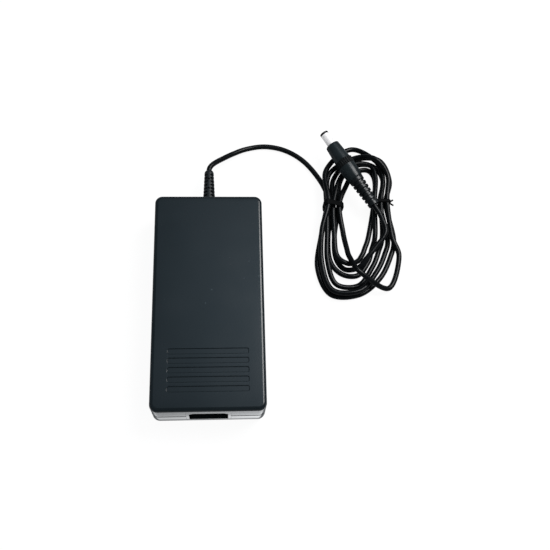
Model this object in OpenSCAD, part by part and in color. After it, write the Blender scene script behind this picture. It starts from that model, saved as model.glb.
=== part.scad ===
// Mains adapter: a case of two covers with its electronics, a moulded output cord tied in a hank,
// and a barrel plug. Millimetres. The origin is on the surface that the case stands on, under the
// middle of the case. +Y runs towards the end that the output cord leaves, +Z is up.

/* [Case] */
// Width of the case
case_w = 72; // [68:0.5:80]
// Length of the case, from the mains end to the cord end
case_l = 147; // [142:1:156]
// Height of the case's roof above the surface that the feet stand on
case_h = 31; // [30:0.5:36]
// Thickness of the walls, floor and roof
wall = 2; // [1.6:0.1:2.4]
// Radius of the case's upright corners
corner_r = 5; // [4:0.5:8]
// Rounding of the rims of roof and floor
edge_r = 2.5; // [1:0.25:3]
// Height of the joint between the two covers
split_z = 15; // [14:0.5:16]
// Height of the tongue that keys the covers together
tongue_h = 1.2; // [0.8:0.1:2]
// Thickness of that tongue
tongue_t = 0.9; // [0.7:0.1:1.1]
// Clearance between pieces that fit into each other
fit_gap = 0.1; // [0.05:0.05:0.2]

/* [Roof grooves] */
// Number of grooves across the roof
groove_n = 5; // [3:1:7]
// Length of each groove
groove_l = 50.5; // [40:0.5:56]
// Width of each groove
groove_w = 3.3; // [2:0.1:4.5]
// Depth of each groove
groove_depth = 0.5; // [0.3:0.1:0.8]
// Distance from one groove to the next
groove_pitch = 6; // [5:0.25:8]
// Distance from the mains end to the middle of the first groove
groove_start = 13.8; // [12:0.5:24]

/* [Feet and screws] */
// Diameter of a rubber foot
foot_d = 9; // [8:0.5:11]
// Thickness of a rubber foot
foot_t = 1.4; // [1.2:0.1:2]
// How far a foot stands out of the floor
foot_proud = 0.8; // [0.5:0.1:1]
// Distance of the screws and feet from the sides of the case
boss_inset = 7.5; // [7:0.5:9]
// Outer diameter of a screw boss
boss_d = 8.4; // [8:0.2:9]
// Diameter of a screw's head
screw_head_d = 5.4; // [5:0.1:5.8]
// Height of a screw's head
screw_head_h = 2; // [1.6:0.1:2.6]
// Diameter of a screw's shank
screw_d = 2.6; // [2.4:0.1:3]
// Length of a screw's shank
screw_l = 18; // [16:1:19]

/* [Mains inlet] */
// Width of the socket's opening
inlet_w = 24.4; // [24:0.1:25]
// Height of the socket's opening
inlet_h = 16.4; // [16:0.1:17]
// Depth of the socket
inlet_depth = 16.5; // [15:0.5:18]
// Bevel on the two upper corners of the socket
inlet_bevel = 2.5; // [2:0.25:5]
// Thickness of the socket's sides
inlet_wall = 1.8; // [1.4:0.1:2]
// Thickness of the socket's bottom
inlet_floor = 3; // [2:0.25:4]
// How far the socket's flange stands out on both sides
inlet_lip = 2; // [1.5:0.25:2.5]
// Thickness of that flange
inlet_lip_t = 2; // [1.5:0.25:3]
// Thickness of a contact pin
pin_t = 2; // [1.8:0.1:2.2]
// Height of a contact pin
pin_h = 4; // [3.8:0.1:4.2]
// Distance from the mouth of the socket to the pins' tips
pin_inset = 5; // [4.5:0.5:7]
// Distance between the live and neutral pins
pin_pitch = 14; // [13.5:0.5:14.5]
// Height of the earth pin above the other two
pin_rise = 4; // [3.5:0.25:4.5]

/* [Circuit board] */
// Thickness of the board
board_t = 1.6; // [1:0.2:2]
// Gap between the board and the side walls
board_side_gap = 3.5; // [3:0.5:5]
// Gap between the board and the wall at the cord end
board_end_gap = 11.5; // [11:0.5:16]
// Height of the posts that carry the board
post_h = 3.4; // [3:0.2:4.5]
// Diameter of a post
post_d = 5; // [4:0.5:6]
// Thickness of the insulating sheet under the board
sheet_t = 0.4; // [0.3:0.1:0.8]
// Gap above the reservoir capacitor
reservoir_gap = 2; // [1.5:0.5:5]
// Length of the reservoir capacitor
reservoir_l = 32; // [25:1:34]
// Thickness of a heat sink's plate
sink_t = 1.5; // [1:0.1:2]
// Gap above a heat sink
sink_gap = 1.5; // [1:0.5:4]
// Width of the transformer core
core_w = 30; // [28:0.5:31]
// Gap above the transformer core
core_gap = 1; // [0.5:0.25:1.5]
// Depth of the transformer core
core_t = 11; // [10:0.5:12]
// Width of each leg of the transformer core
core_leg = 4; // [3.5:0.25:4.5]
// Thickness of the heat spreader under the roof
spreader_t = 0.8; // [0.5:0.1:1]

/* [Output cord] */
// Diameter of the output cord
cord_d = 3.7; // [3.4:0.1:3.7]
// Length of the cord's strain relief outside the case
relief_l = 27.5; // [22:0.5:28]
// Diameter of the strain relief at the case
relief_d = 8.8; // [7.5:0.1:9]
// Diameter of the strain relief at its end
relief_end_d = 6.4; // [5.6:0.1:7]
// Number of notches on each side of the strain relief
relief_n = 8; // [6:1:12]
// Depth of those notches
relief_notch = 1; // [0.6:0.1:1.2]

/* [Plug] */
// Outer diameter of the plug's barrel
barrel_d = 6.3; // [6:0.1:6.5]
// Wall of the plug's barrel
barrel_wall = 0.4; // [0.3:0.05:0.5]
// Length of the plug's barrel
barrel_l = 9.4; // [9:0.2:12]
// Diameter of the hole for the centre pin
plug_bore_d = 3; // [2.5:0.1:3.2]
// Wall of the sleeve around that hole
sleeve_wall = 0.3; // [0.2:0.05:0.4]
// Thickness of the insulating ring at the tip
tip_t = 1.6; // [0.8:0.1:1.8]
// Length of the plug's front grip
grip_l = 14.5; // [12:0.5:17]
// Diameter of the grip next to the barrel
grip_d = 10.2; // [9.5:0.1:11]
// Diameter of the grip next to the collar
grip_back_d = 12.2; // [11.5:0.1:12.8]
// Diameter of the collar behind the grip
collar_d = 13.5; // [13:0.1:14]
// Width of the collar
collar_w = 5; // [2:0.5:6]
// Number of notches round the collar
collar_n = 24; // [12:2:32]
// Length of the tapered part behind the collar
taper_l = 12; // [10:0.5:15]
// Diameter of the tapered part next to the collar
taper_d = 12.8; // [12:0.1:13]
// Length of the ribbed tail
tail_l = 23; // [18:0.5:24]
// Diameter of the ribbed tail where it meets the tapered part
tail_d = 10.8; // [8:0.1:11]
// Diameter of the ribbed tail at the cord
tail_end_d = 7.8; // [5:0.1:8]
// Number of ribs on the tail
rib_n = 6; // [4:1:8]

/* [Ties] */
// Thickness of the ties' bands
tie_t = 0.5; // [0.3:0.1:0.5]
// Width of the wide tie
wide_tie_w = 3.6; // [3:0.25:5]
// Width of the twisted tie
twist_tie_w = 2.4; // [2:0.2:3]
// Clearance between a tie and the cord
tie_gap = 0.3; // [0.2:0.05:0.3]

/* [Hidden] */

$fn = 48;
ROUND_FN = 16;   // sides of the small rounding on the rims of the case
BALL_FN = 32;    // sides of the corners that a hull joins

// Heights, from the surface upwards
base_z = foot_proud;
floor_z = base_z + wall;
roof_z = case_h - wall;
board_z = floor_z + post_h + sheet_t;
board_top = board_z + board_t;

// The two ends of the case and the inside of its walls
mains_y = -case_l / 2;
cord_y = case_l / 2;
inner_w = case_w - 2 * wall;
inner_l = case_l - 2 * wall;
inner_r = corner_r - wall;

// Feet and screws
foot_seat = foot_t - foot_proud;
boss_x = case_w / 2 - boss_inset;
boss_y = case_l / 2 - boss_inset;
head_z = base_z + foot_seat;
shank_z = head_z + screw_head_h;
foot_clear = 0.2;
screw_clear = 0.2;
pilot_clear = 0.05;
pilot_spare = 1;

// Mains socket
housing_w = inlet_w + 2 * inlet_wall;
housing_h = inlet_h + 2 * inlet_wall;
housing_l = inlet_depth + inlet_floor;
housing_r = 1.5;
housing_back = mains_y + housing_l;
rib_t = 1.5;
tab_l = 3.5;
tab_w = 2;
tab_end = 1;
line_z = split_z - pin_rise / 2;
earth_z = split_z + pin_rise / 2;

// Circuit board, from just behind the socket to short of the cord end
board_w = inner_w - 2 * board_side_gap;
board_front = housing_back + 0.3;
board_back = cord_y - wall - board_end_gap;
board_l = board_back - board_front;
board_mid = (board_front + board_back) / 2;
board_r = 1;
post_inset = 3;
post_end = 6;
post_x = board_w / 2 - post_inset;
post_ys = [board_front + post_end, board_mid, board_back - post_end];
hole_gap = 0.3;

// Places on the board: x from its middle line, y as a share of its length from its front edge
head_room = roof_z - spreader_t - board_top;
fuse_at = [4.5 - board_w / 2, 0.12];
fuse_d = 5;
fuse_l = 20;
fuse_cap_l = 5;
fuse_lift = 1;
noise_cap_at = [-6, 0.09];
noise_cap_size = [18, 8.5, 14];
choke_at = [17, 0.14];
choke_ring_d = 19;
choke_hole_d = 9;
choke_h = 9;
choke_wrap = 1.2;
bridge_at = [-6, 0.18];
bridge_size = [22, 4, 13];
reservoir_at = [-14, 0.38];
reservoir_d = head_room - reservoir_gap;
core_at = [12, 0.38];
core_h = head_room - core_gap;
core_window = (core_w - 4 * core_leg) / 2;   // beside a middle leg twice as wide as an outer one
bobbin_wall = 0.8;
bobbin_flange_t = 1;
bobbin_over = 6;
winding_gap = 0.1;
sink_l = 34;
sink_h = head_room - sink_gap;
sink_fins = 4;
sink_fin_l = 1.8;
primary_sink_y = 0.5;
secondary_sink_y = 0.74;
tab_chip_size = [4.6, 10, sink_h - 2.5];
switch_shift = 11;
diode_shift = 8.5;
safety_cap_at = [0, 0.565];
safety_cap_d = 9;
safety_cap_t = 4;
opto_at = [-12.5, 0.58];
opto_size = [7, 6.5, 3.6];
chip_size = [6.4, 9.5, 3.4];
chip_inset = 3.8;
chip_at = [chip_inset + chip_size[0] / 2 - board_w / 2, 0.75];
can_d = 10;
can_h = head_room - reservoir_gap;
can_first = [4, 0.67];
can_step = [can_d + 1, 0.105];
can_ats = [for (i = [0, 1], j = [0, 1]) can_first + [i * can_step[0], j * can_step[1]]];
output_choke_at = [-10, 0.72];
output_choke_d = 13;
output_choke_h = 14;
spreader_w = 56;
spreader_l = 96;
lead_d = 1.8;
lead_pitch = 3;

// Output cord. Its loose stretch leaves the strain relief, comes down to the surface and curves
// round to the hank. The first two points and the last two keep it square to what it meets.
cord_r = cord_d / 2;
relief_flange_d = 13;
relief_flange_t = 2;
relief_end_y = cord_y + relief_l;
CORD_SIDES = 8;
cord_route = [
    [0, relief_end_y, split_z], [0, relief_end_y + 1.5, split_z],
    [0.6, 104.3, 14.9], [2.3, 106.9, 14.3], [5.1, 110.1, 12.6], [9, 113.8, 10.3],
    [13.6, 118, 7.6], [18.7, 122, 5.2], [24.7, 125.7, 3.3], [31.4, 128.2, 2.2], [38.5, 129.4, 2],
    [46, 129, 2], [54, 127, 2], [62, 123, 2], [69.5, 117, 2], [76, 109, 2], [81.5, 99.5, 2.5],
    [84.5, 92, 3], [84.5, 88, 3]
];

// Hank. Thirteen spokes cross its bundle, each [x, y, heading] on the outermost loop and pointing
// inwards. A loop crosses a spoke some lanes further in and some levels up: one row is one loop,
// and a column is one spoke. The wide tie is by spoke 0 and the twisted tie on spoke 8.
HANK_SIDES = 6;
HANK_STEPS = 2;   // rings from one spoke to the next
hank_lane = 4.5;
hank_level = 4.5;
hank_rest = 2;    // height of the lowest cord's middle
hank_spokes = [
    [84.5, 78.5, 0], [79.5, 57, 0], [75.5, 32, 30], [83.5, 12, 60], [103.5, 11.5, 90],
    [119, 23.5, 122], [129, 39.5, 160], [131, 54, 172], [128, 81, 180], [132.5, 101, 180],
    [125.5, 118.5, 225], [105, 117.5, 275], [91.5, 101, 335]
];
hank_lanes = [
    [0, 0, 0, 0, 0, 0, 0.25, -0.1, 0, 0, 0, 0, -0.2],
    [0.97, 1.1, 2.35, 3.85, 3.2, 3.16, 3.4, 3, 2.05, 2.5, 2.3, 1.3, 0.8],
    [0.95, 1.9, 3.4, 5.4, 5.4, 4.7, 4.5, 3.9, 2, 2.45, 2.8, 2.32, 2.15],
    [1.9, 3.3, 5.2, 6.1, 2.7, -2.15, -1, 0.4, 0, 0.6, 1.6, 0.3, -1.1],
    [0, 0.8, 1.75, 1.85, 1.5, 2.09, 2.3, 1.87, 1, 1.3, 1.2, -1.8, -1.75],
    [0.05, -0.1, 0.7, 0.4, 0.3, 1.05, 1.25, 0.88, 0.97, 1.1, 1.6, 1.12, 0.95],
    [1.92, 2.1, 3.4, 4.8, 4.15, 3.6, 3, 1.6]
];
hank_levels = [
    [0.2, 0, 0, 0, 0, 0, 0, 0, 0.2, 0, 0, 0, 0],
    [0.2, 0, 0, 0, 0, 0, 0, 0.7, 1.2, 1, 1, 1, 1],
    [1.2, 1.1, 1.1, 1.14, 0.35, 0, 0, 0, 0.2, 0, 0, 0, 0.55],
    [1.2, 1.1, 1.6, 2, 2.6, 0.5, 0.7, 1.1, 1.2, 1.65, 2.4, 1.2, 1.1],
    [1.2, 1.1, 0.8, 0.2, 0, 0.2, 0.2, 0.9, 1.2, 0.95, 1.3, 0.6, 1.9],
    [2.2, 1.75, 0.9, 1, 1.1, 0.4, 0.2, 0, 0.2, 0, 0, 0, 0],
    [0.2, 0, 0, 0, 0.8, 1.5, 1.8, 2.2]
];
hank_far = 3;     // rings further on before another stretch counts as a neighbour
WIDE_TIE = 0;
TWIST_TIE = 8;
wide_tie_y = hank_spokes[WIDE_TIE][1] - 0.5;
twist_tie_y = hank_spokes[TWIST_TIE][1];
knot_splay = 35;
knot_r = 0.7;
knot_l = 3;

// Plug: its own frame has +X from the cord to the tip
plug_end = [117, 75.5, 12.8];
plug_turn = 121;
plug_pitch = 4.5;
plug_axis = [cos(plug_pitch) * cos(plug_turn), cos(plug_pitch) * sin(plug_turn), sin(plug_pitch)];
collar_x = tail_l + taper_l;
grip_x = collar_x + collar_w;
barrel_x = grip_x + grip_l;
barrel_r = barrel_d / 2;
sleeve_r = plug_bore_d / 2 + sleeve_wall;
rib_depth = 0.7;
rib_gap = 0.35;   // share of a rib's pitch that the groove takes
sleeve_floor = 1;
taper_knee = 0.8; // share of its length at which the tapered part is nearly at its widest
taper_knee_d = taper_d - 0.2;
collar_notch = 0.4;
grip_round = 1;

// ---------------------------------------------------------------------------------------------
// Shared shapes

// A flat rectangle with round corners
module round_rect(w, l, r) {
    square([w - 2 * r, l], center = true);
    square([w, l - 2 * r], center = true);
    for (sx = [-1, 1], sy = [-1, 1])
        translate([sx * (w / 2 - r), sy * (l / 2 - r)]) circle(r);
}

// An upright block with round corners
module slab(w, l, h, r) {
    linear_extrude(h) round_rect(w, l, r);
}

// A block whose upper rim is rounded as well
module domed_slab(w, l, h, r, rim) {
    hull()
        for (sx = [-1, 1], sy = [-1, 1])
            translate([sx * (w / 2 - r), sy * (l / 2 - r), 0]) {
                cylinder(r = r, h = h - rim, $fn = BALL_FN);
                translate([0, 0, h - rim])
                    rotate_extrude($fn = BALL_FN)
                        translate([r - rim, 0]) circle(rim, $fn = ROUND_FN);
            }
}

// The four places of the screws and feet
module at_bosses() {
    for (sx = [-1, 1], sy = [-1, 1])
        translate([sx * boss_x, sy * boss_y, 0]) children();
}

// Extrudes an outline drawn as [x, z] along Y, from y back to y - depth
module along_y(y, depth) {
    translate([0, y, 0]) rotate([90, 0, 0]) linear_extrude(depth) children();
}

// The openings for the mains socket and the strain relief, which both covers share
module end_openings() {
    along_y(mains_y + wall + 1, wall + 2)
        translate([0, split_z]) round_rect(housing_w + 2 * fit_gap, housing_h + 2 * fit_gap, housing_r);
    along_y(cord_y + 1, wall + 2)
        translate([0, split_z]) circle(d = relief_d + 2 * fit_gap);
}

// A place on the board
module on_board(at) {
    translate([at[0], board_front + at[1] * board_l, board_top]) children();
}

// A block that stands on the board
module board_block(at, size) {
    on_board(at) translate([0, 0, size[2] / 2]) cube(size, center = true);
}

// ---------------------------------------------------------------------------------------------
// Swept tubes

function unit(v) = v / norm(v);
function heading(p, i) =
    i == 0 ? unit(p[1] - p[0])
    : i == len(p) - 1 ? unit(p[i] - p[i - 1])
    : unit(unit(p[i + 1] - p[i]) + unit(p[i] - p[i - 1]));
function ring(middle, ahead, r, sides) =
    let (across = unit(cross([0, 0, 1], ahead)), up = cross(ahead, across))
    [for (k = [0:sides - 1]) middle + r * (cos(360 * k / sides) * across + sin(360 * k / sides) * up)];
function tube_sides(rings, sides) =
    [for (i = [0:rings - 2], k = [0:sides - 1])
        let (a = i * sides + k, b = i * sides + (k + 1) % sides, c = b + sides, d = a + sides)
        each [[a, c, b], [a, d, c]]];
function tube_ends(rings, sides) =
    let (last = (rings - 1) * sides)
    [for (k = [1:sides - 2]) each [[0, k, k + 1], [last, last + k + 1, last + k]]];

// One tube along the points of a path
module tube(path, r, sides) {
    polyhedron(
        points = [for (i = [0:len(path) - 1]) each ring(path[i], heading(path, i), r, sides)],
        faces = concat(tube_sides(len(path), sides), tube_ends(len(path), sides)),
        convexity = 10
    );
}

// A smooth curve through points, with some steps from one point to the next
function before(p, i) = i == 0 ? 2 * p[0] - p[1] : p[i - 1];
function after(p, i) = i == len(p) - 2 ? 2 * p[i + 1] - p[i] : p[i + 2];
function bend(a, b, c, d, t) =
    (2 * b + (c - a) * t + (2 * a - 5 * b + 4 * c - d) * t * t + (3 * b - a - 3 * c + d) * t * t * t) / 2;
function rested(p) = [p[0], p[1], max(p[2], hank_rest)];
function smooth(p, steps) =
    [for (i = [0:len(p) - 2], k = [0:steps - 1])
        rested(bend(before(p, i), p[i], p[i + 1], after(p, i), k / steps)),
     p[len(p) - 1]];

function path_length(p) =
    let (steps = [for (i = [1:len(p) - 1]) norm(p[i] - p[i - 1])])
    steps * [for (step = steps) 1];

// Where a loop crosses a spoke
function hank_point(spoke, lane, level) =
    let (s = hank_spokes[spoke], in = lane * hank_lane)
    [s[0] + in * cos(s[2]), s[1] + in * sin(s[2]), hank_rest + level * hank_level];
function hank_crossings() =
    [for (loop = [0:len(hank_lanes) - 1], spoke = [0:len(hank_lanes[loop]) - 1])
        hank_point(spoke, hank_lanes[loop][spoke], hank_levels[loop][spoke])];
// Both ends run straight for at least one diameter
function hank_path() =
    let (
        start = cord_route[len(cord_route) - 1],
        bends = concat([start - [0, cord_d, 0]], hank_crossings(), [plug_end - 2 * cord_d * plug_axis])
    )
    concat([start], smooth(bends, HANK_STEPS), [plug_end]);

// The least distance from a tube to another stretch of itself
function point_to_line(p, a, b) =
    let (t = max(0, min(1, (p - a) * (b - a) / ((b - a) * (b - a)))))
    norm(p - a - t * (b - a));
function least_gap(p, far, d) =
    min([for (i = [0:len(p) - 1], j = [0:len(p) - 2])
        if (abs(i - j) > far && abs(i - j - 1) > far) point_to_line(p[i], p[j], p[j + 1])]) - d;

// ---------------------------------------------------------------------------------------------
// Case

module top_cover() {
    color([0.17, 0.2, 0.22])
    difference() {
        union() {
            difference() {
                translate([0, 0, split_z]) domed_slab(case_w, case_l, case_h - split_z, corner_r, edge_r);
                translate([0, 0, split_z - 1]) slab(inner_w, inner_l, roof_z - split_z + 1, inner_r);
                translate([0, 0, split_z - 1]) top_rebate();
            }
            at_bosses()
                translate([0, 0, split_z]) cylinder(d = boss_d, h = roof_z - split_z + wall / 2);
            inlet_ribs(split_z + housing_h / 2, roof_z + wall / 2);
        }
        at_bosses()
            translate([0, 0, split_z - 1])
                cylinder(d = screw_d + 2 * pilot_clear, h = shank_z + screw_l + pilot_spare - split_z + 1);
        end_openings();
        roof_grooves();
    }
}

// Room for the lower cover's tongue
module top_rebate() {
    edge = 2 * (wall - tongue_t - fit_gap);
    slab(case_w - edge, case_l - edge, 1 + tongue_h + fit_gap, corner_r - edge / 2);
}

module roof_grooves() {
    for (i = [0:groove_n - 1])
        translate([0, mains_y + groove_start + i * groove_pitch, case_h - groove_depth])
            slab(groove_l, groove_w, groove_depth + 1, groove_w / 4);
}

// Two ribs that hold the mains socket against the roof or the floor
module inlet_ribs(low, high) {
    for (y = [mains_y + housing_l * 0.4, mains_y + housing_l * 0.8])
        translate([-housing_w / 2, y, low]) cube([housing_w, rib_t, high - low]);
}

module bottom_cover() {
    color([0.14, 0.16, 0.18])
    difference() {
        union() {
            difference() {
                union() {
                    translate([0, 0, split_z]) mirror([0, 0, 1])
                        domed_slab(case_w, case_l, split_z - base_z, corner_r, edge_r);
                    bottom_tongue();
                }
                translate([0, 0, floor_z]) slab(inner_w, inner_l, case_h, inner_r);
            }
            at_bosses()
                translate([0, 0, base_z + wall / 2]) cylinder(d = boss_d, h = split_z - base_z - wall / 2);
            for (sx = [-1, 1], y = post_ys)
                translate([sx * post_x, y, floor_z - wall / 2])
                    cylinder(d = post_d, h = board_z - floor_z + wall / 2);
            inlet_ribs(floor_z - wall / 2, split_z - housing_h / 2);
        }
        at_bosses() {
            translate([0, 0, base_z - 1]) cylinder(d = foot_d + foot_clear, h = 1 + foot_seat);
            translate([0, 0, base_z]) cylinder(d = screw_head_d + 2 * screw_clear, h = shank_z - base_z);
            translate([0, 0, base_z]) cylinder(d = screw_d + 2 * screw_clear, h = split_z);
        }
        end_openings();
    }
}

// The tongue stands on the joint, on the inner part of the wall
module bottom_tongue() {
    edge = 2 * (wall - tongue_t);
    translate([0, 0, split_z - 1])
        slab(case_w - edge, case_l - edge, 1 + tongue_h, corner_r - edge / 2);
}

module rubber_feet() {
    color([0.08, 0.08, 0.09])
    at_bosses() cylinder(d = foot_d, h = foot_t);
}

module case_screws() {
    color([0.6, 0.6, 0.62])
    at_bosses() {
        difference() {
            translate([0, 0, head_z]) cylinder(d = screw_head_d, h = screw_head_h);
            translate([0, 0, head_z]) cube([screw_head_d * 0.6, 0.8, screw_head_h], center = true);
            translate([0, 0, head_z]) cube([0.8, screw_head_d * 0.6, screw_head_h], center = true);
        }
        translate([0, 0, shank_z]) cylinder(d = screw_d, h = screw_l);
    }
}

// ---------------------------------------------------------------------------------------------
// Mains inlet

// The outline of the socket, with its two upper corners bevelled
module socket_outline() {
    w = inlet_w / 2;
    h = inlet_h / 2;
    b = inlet_bevel;
    polygon([[-w, -h], [w, -h], [w, h - b], [w - b, h], [b - w, h], [-w, h - b]]);
}

module pin_outlines(grow) {
    translate([-pin_pitch / 2, line_z]) square([pin_t + grow, pin_h + grow], center = true);
    translate([pin_pitch / 2, line_z]) square([pin_t + grow, pin_h + grow], center = true);
    translate([0, earth_z]) square([pin_t + grow, pin_h + grow], center = true);
}

module inlet_housing() {
    color([0.05, 0.05, 0.055])
    difference() {
        union() {
            along_y(housing_back, housing_l)
                translate([0, split_z]) round_rect(housing_w, housing_h, housing_r);
            along_y(mains_y + wall + inlet_lip_t, inlet_lip_t)
                translate([0, split_z])
                    round_rect(housing_w + 2 * inlet_lip, housing_h, housing_r);
        }
        along_y(mains_y + inlet_depth, inlet_depth + 1) translate([0, split_z]) socket_outline();
        along_y(housing_back + 1, inlet_floor + 2) pin_outlines(fit_gap);
    }
}

// A blade through the socket's bottom, with a leg down through the board
module contact_pin(x, z) {
    color([0.78, 0.76, 0.7]) {
        along_y(housing_back + tab_l, housing_l + tab_l - pin_inset)
            translate([x, z]) square([pin_t, pin_h], center = true);
        translate([x - pin_t / 2, housing_back + tab_l - tab_w, board_z - tab_end])
            cube([pin_t, tab_w, z - board_z + tab_end]);
    }
}

module line_pin() contact_pin(-pin_pitch / 2, line_z);

module neutral_pin() contact_pin(pin_pitch / 2, line_z);

module earth_pin() contact_pin(0, earth_z);

// ---------------------------------------------------------------------------------------------
// Circuit board and what stands on it

module insulating_sheet() {
    color([0.85, 0.82, 0.7])
    translate([0, board_mid, floor_z])
        slab(2 * post_x - post_d - 1, board_l - 2, sheet_t, board_r);
}

module circuit_board() {
    color([0.1, 0.35, 0.18])
    difference() {
        translate([0, board_mid, board_z]) slab(board_w, board_l, board_t, board_r);
        for (x = [-pin_pitch / 2, 0, pin_pitch / 2])
            translate([x, housing_back + tab_l - tab_w / 2, board_z])
                cube([pin_t + hole_gap, tab_w + hole_gap, 3 * board_t], center = true);
    }
}

module fuse() {
    color([0.8, 0.82, 0.8]) {
        on_board(fuse_at) translate([0, 0, fuse_lift + fuse_d / 2]) rotate([90, 0, 0])
            cylinder(d = fuse_d - 0.4, h = fuse_l, center = true);
        for (s = [-1, 1])
            on_board(fuse_at) translate([0, s * (fuse_l - fuse_cap_l) / 2, 0]) {
                translate([0, 0, fuse_lift + fuse_d / 2]) rotate([90, 0, 0])
                    cylinder(d = fuse_d, h = fuse_cap_l, center = true);
                translate([0, 0, (fuse_lift + fuse_d / 2) / 2])
                    cube([fuse_d / 3, fuse_cap_l / 2, fuse_lift + fuse_d / 2], center = true);
            }
    }
}

module noise_capacitor() {
    color([0.75, 0.65, 0.2]) board_block(noise_cap_at, noise_cap_size);
}

module choke_core() {
    color([0.2, 0.2, 0.2])
    on_board(choke_at) translate([0, 0, choke_wrap])
        difference() {
            cylinder(d = choke_ring_d, h = choke_h);
            translate([0, 0, -1]) cylinder(d = choke_hole_d, h = choke_h + 2);
        }
}

// Two windings, each a thick band round a part of the ring
module choke_windings() {
    color([0.7, 0.35, 0.15])
    on_board(choke_at)
        for (side = [0, 180])
            rotate([0, 0, side])
                difference() {
                    choke_band(choke_ring_d / 2 + choke_wrap, choke_h + 2 * choke_wrap);
                    translate([0, 0, choke_wrap - winding_gap])
                        difference() {
                            cylinder(d = choke_ring_d + 2 * winding_gap, h = choke_h + 2 * winding_gap);
                            translate([0, 0, -1])
                                cylinder(d = choke_hole_d - 2 * winding_gap, h = choke_h + 3);
                        }
                }
}

module choke_band(r, h) {
    intersection() {
        difference() {
            cylinder(r = r, h = h);
            translate([0, 0, -1]) cylinder(d = choke_hole_d - 2 * choke_wrap, h = h + 2);
        }
        translate([choke_ring_d / 2, 0, h / 2])
            cube([choke_ring_d, choke_ring_d * 0.6, h + 2], center = true);
    }
}

module bridge_rectifier() {
    color([0.1, 0.1, 0.1]) board_block(bridge_at, bridge_size);
}

module reservoir_capacitor() {
    color([0.1, 0.12, 0.3])
    on_board(reservoir_at) translate([0, 0, reservoir_d / 2]) rotate([90, 0, 0]) {
        cylinder(d = reservoir_d, h = reservoir_l, center = true);
    }
}

// A plate with short fins towards the side wall, on side -1 or 1
module heat_sink(side, y) {
    color([0.72, 0.73, 0.75])
    on_board([side * (board_w - sink_t) / 2, y]) translate([0, 0, sink_h / 2]) {
        cube([sink_t, sink_l, sink_h], center = true);
        for (i = [0:sink_fins - 1])
            translate([side * (sink_t + sink_fin_l) / 2, (i + 0.5) * sink_l / sink_fins - sink_l / 2, 0])
                cube([sink_fin_l, sink_t, sink_h], center = true);
    }
}

module primary_heat_sink() heat_sink(-1, primary_sink_y);

module secondary_heat_sink() heat_sink(1, secondary_sink_y);

// A power device that leans flat on a heat sink, some way along it from its middle
module tab_chip(side, y, shift) {
    color([0.12, 0.12, 0.12])
    translate([0, shift, 0])
        board_block([side * (board_w / 2 - sink_t - tab_chip_size[0] / 2), y], tab_chip_size);
}

module switch_transistor() tab_chip(-1, primary_sink_y, switch_shift);

module output_diodes() {
    for (s = [-1, 1]) tab_chip(1, secondary_sink_y, s * diode_shift);
}

module transformer_core() {
    color([0.18, 0.18, 0.2])
    on_board(core_at) translate([0, 0, core_h / 2])
        difference() {
            cube([core_w, core_t, core_h], center = true);
            for (s = [-1, 1])
                translate([s * (core_leg + core_window / 2), 0, 0])
                    cube([core_window, core_t + 2, core_h - 2 * core_leg], center = true);
        }
}

module transformer_bobbin() {
    inner = [2 * core_leg + 2 * winding_gap, core_t + 2 * winding_gap];
    outer = inner + 2 * [bobbin_wall, bobbin_wall];
    flange = [core_w - 2 * core_leg - 2 * winding_gap, core_t + 2 * bobbin_over];
    height = core_h - 2 * core_leg - 2 * winding_gap;
    color([0.15, 0.15, 0.15])
    on_board(core_at) translate([0, 0, core_leg + winding_gap])
        difference() {
            union() {
                translate([0, 0, height / 2]) cube([outer[0], outer[1], height], center = true);
                for (z = [bobbin_flange_t / 2, height - bobbin_flange_t / 2])
                    translate([0, 0, z]) cube([flange[0], flange[1], bobbin_flange_t], center = true);
            }
            translate([0, 0, height / 2]) cube([inner[0], inner[1], height + 2], center = true);
        }
}

module transformer_winding() {
    height = core_h - 2 * core_leg - 4 * winding_gap - 2 * bobbin_flange_t;
    hub_w = 2 * core_leg + 2 * bobbin_wall + 4 * winding_gap;
    hub_l = core_t + 2 * bobbin_wall + 4 * winding_gap;
    color([0.85, 0.7, 0.15])
    on_board(core_at) translate([0, 0, core_leg + bobbin_flange_t + 2 * winding_gap])
        difference() {
            slab(core_w - 2 * core_leg - 1, core_t + 2 * bobbin_over - 1.5, height, 2);
            translate([0, 0, height / 2]) cube([hub_w, hub_l, height + 2], center = true);
        }
}

module safety_capacitor() {
    color([0.25, 0.45, 0.75])
    on_board(safety_cap_at) translate([0, 0, safety_cap_d / 2]) rotate([0, 90, 0])
        cylinder(d = safety_cap_d, h = safety_cap_t, center = true);
}

module optocoupler() {
    color([0.9, 0.9, 0.88]) board_block(opto_at, opto_size);
}

module control_chip() {
    color([0.08, 0.08, 0.08]) board_block(chip_at, chip_size);
}

module output_capacitors() {
    color([0.15, 0.3, 0.25])
    for (at = can_ats) on_board(at) cylinder(d = can_d, h = can_h);
}

// A drum core: two flanges with the winding between them
module output_choke() {
    color([0.3, 0.3, 0.3])
    on_board(output_choke_at) {
        cylinder(d = output_choke_d, h = 2);
        cylinder(d = output_choke_d - 2, h = output_choke_h);
        translate([0, 0, output_choke_h - 2]) cylinder(d = output_choke_d, h = 2);
    }
}

module heat_spreader() {
    color([0.78, 0.79, 0.8])
    translate([0, board_mid, roof_z - spreader_t]) slab(spreader_w, spreader_l, spreader_t, board_r);
}

// ---------------------------------------------------------------------------------------------
// Output cord

// Two leads from the strain relief's flange down to the board
module output_leads() {
    start = cord_y - wall - relief_flange_t - fit_gap;
    drop = board_back - 4;
    color([0.7, 0.1, 0.1])
    for (s = [-1, 1]) {
        x = s * lead_pitch / 2;
        tube([
            [x, start, split_z], [x, start - lead_d, split_z],
            [x, (start + drop) / 2, (split_z + board_top + lead_d / 2) / 2],
            [x, drop, board_top + lead_d / 2], [x, drop - 2 * lead_d, board_top + lead_d / 2]
        ], lead_d / 2, CORD_SIDES);
    }
}

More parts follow.
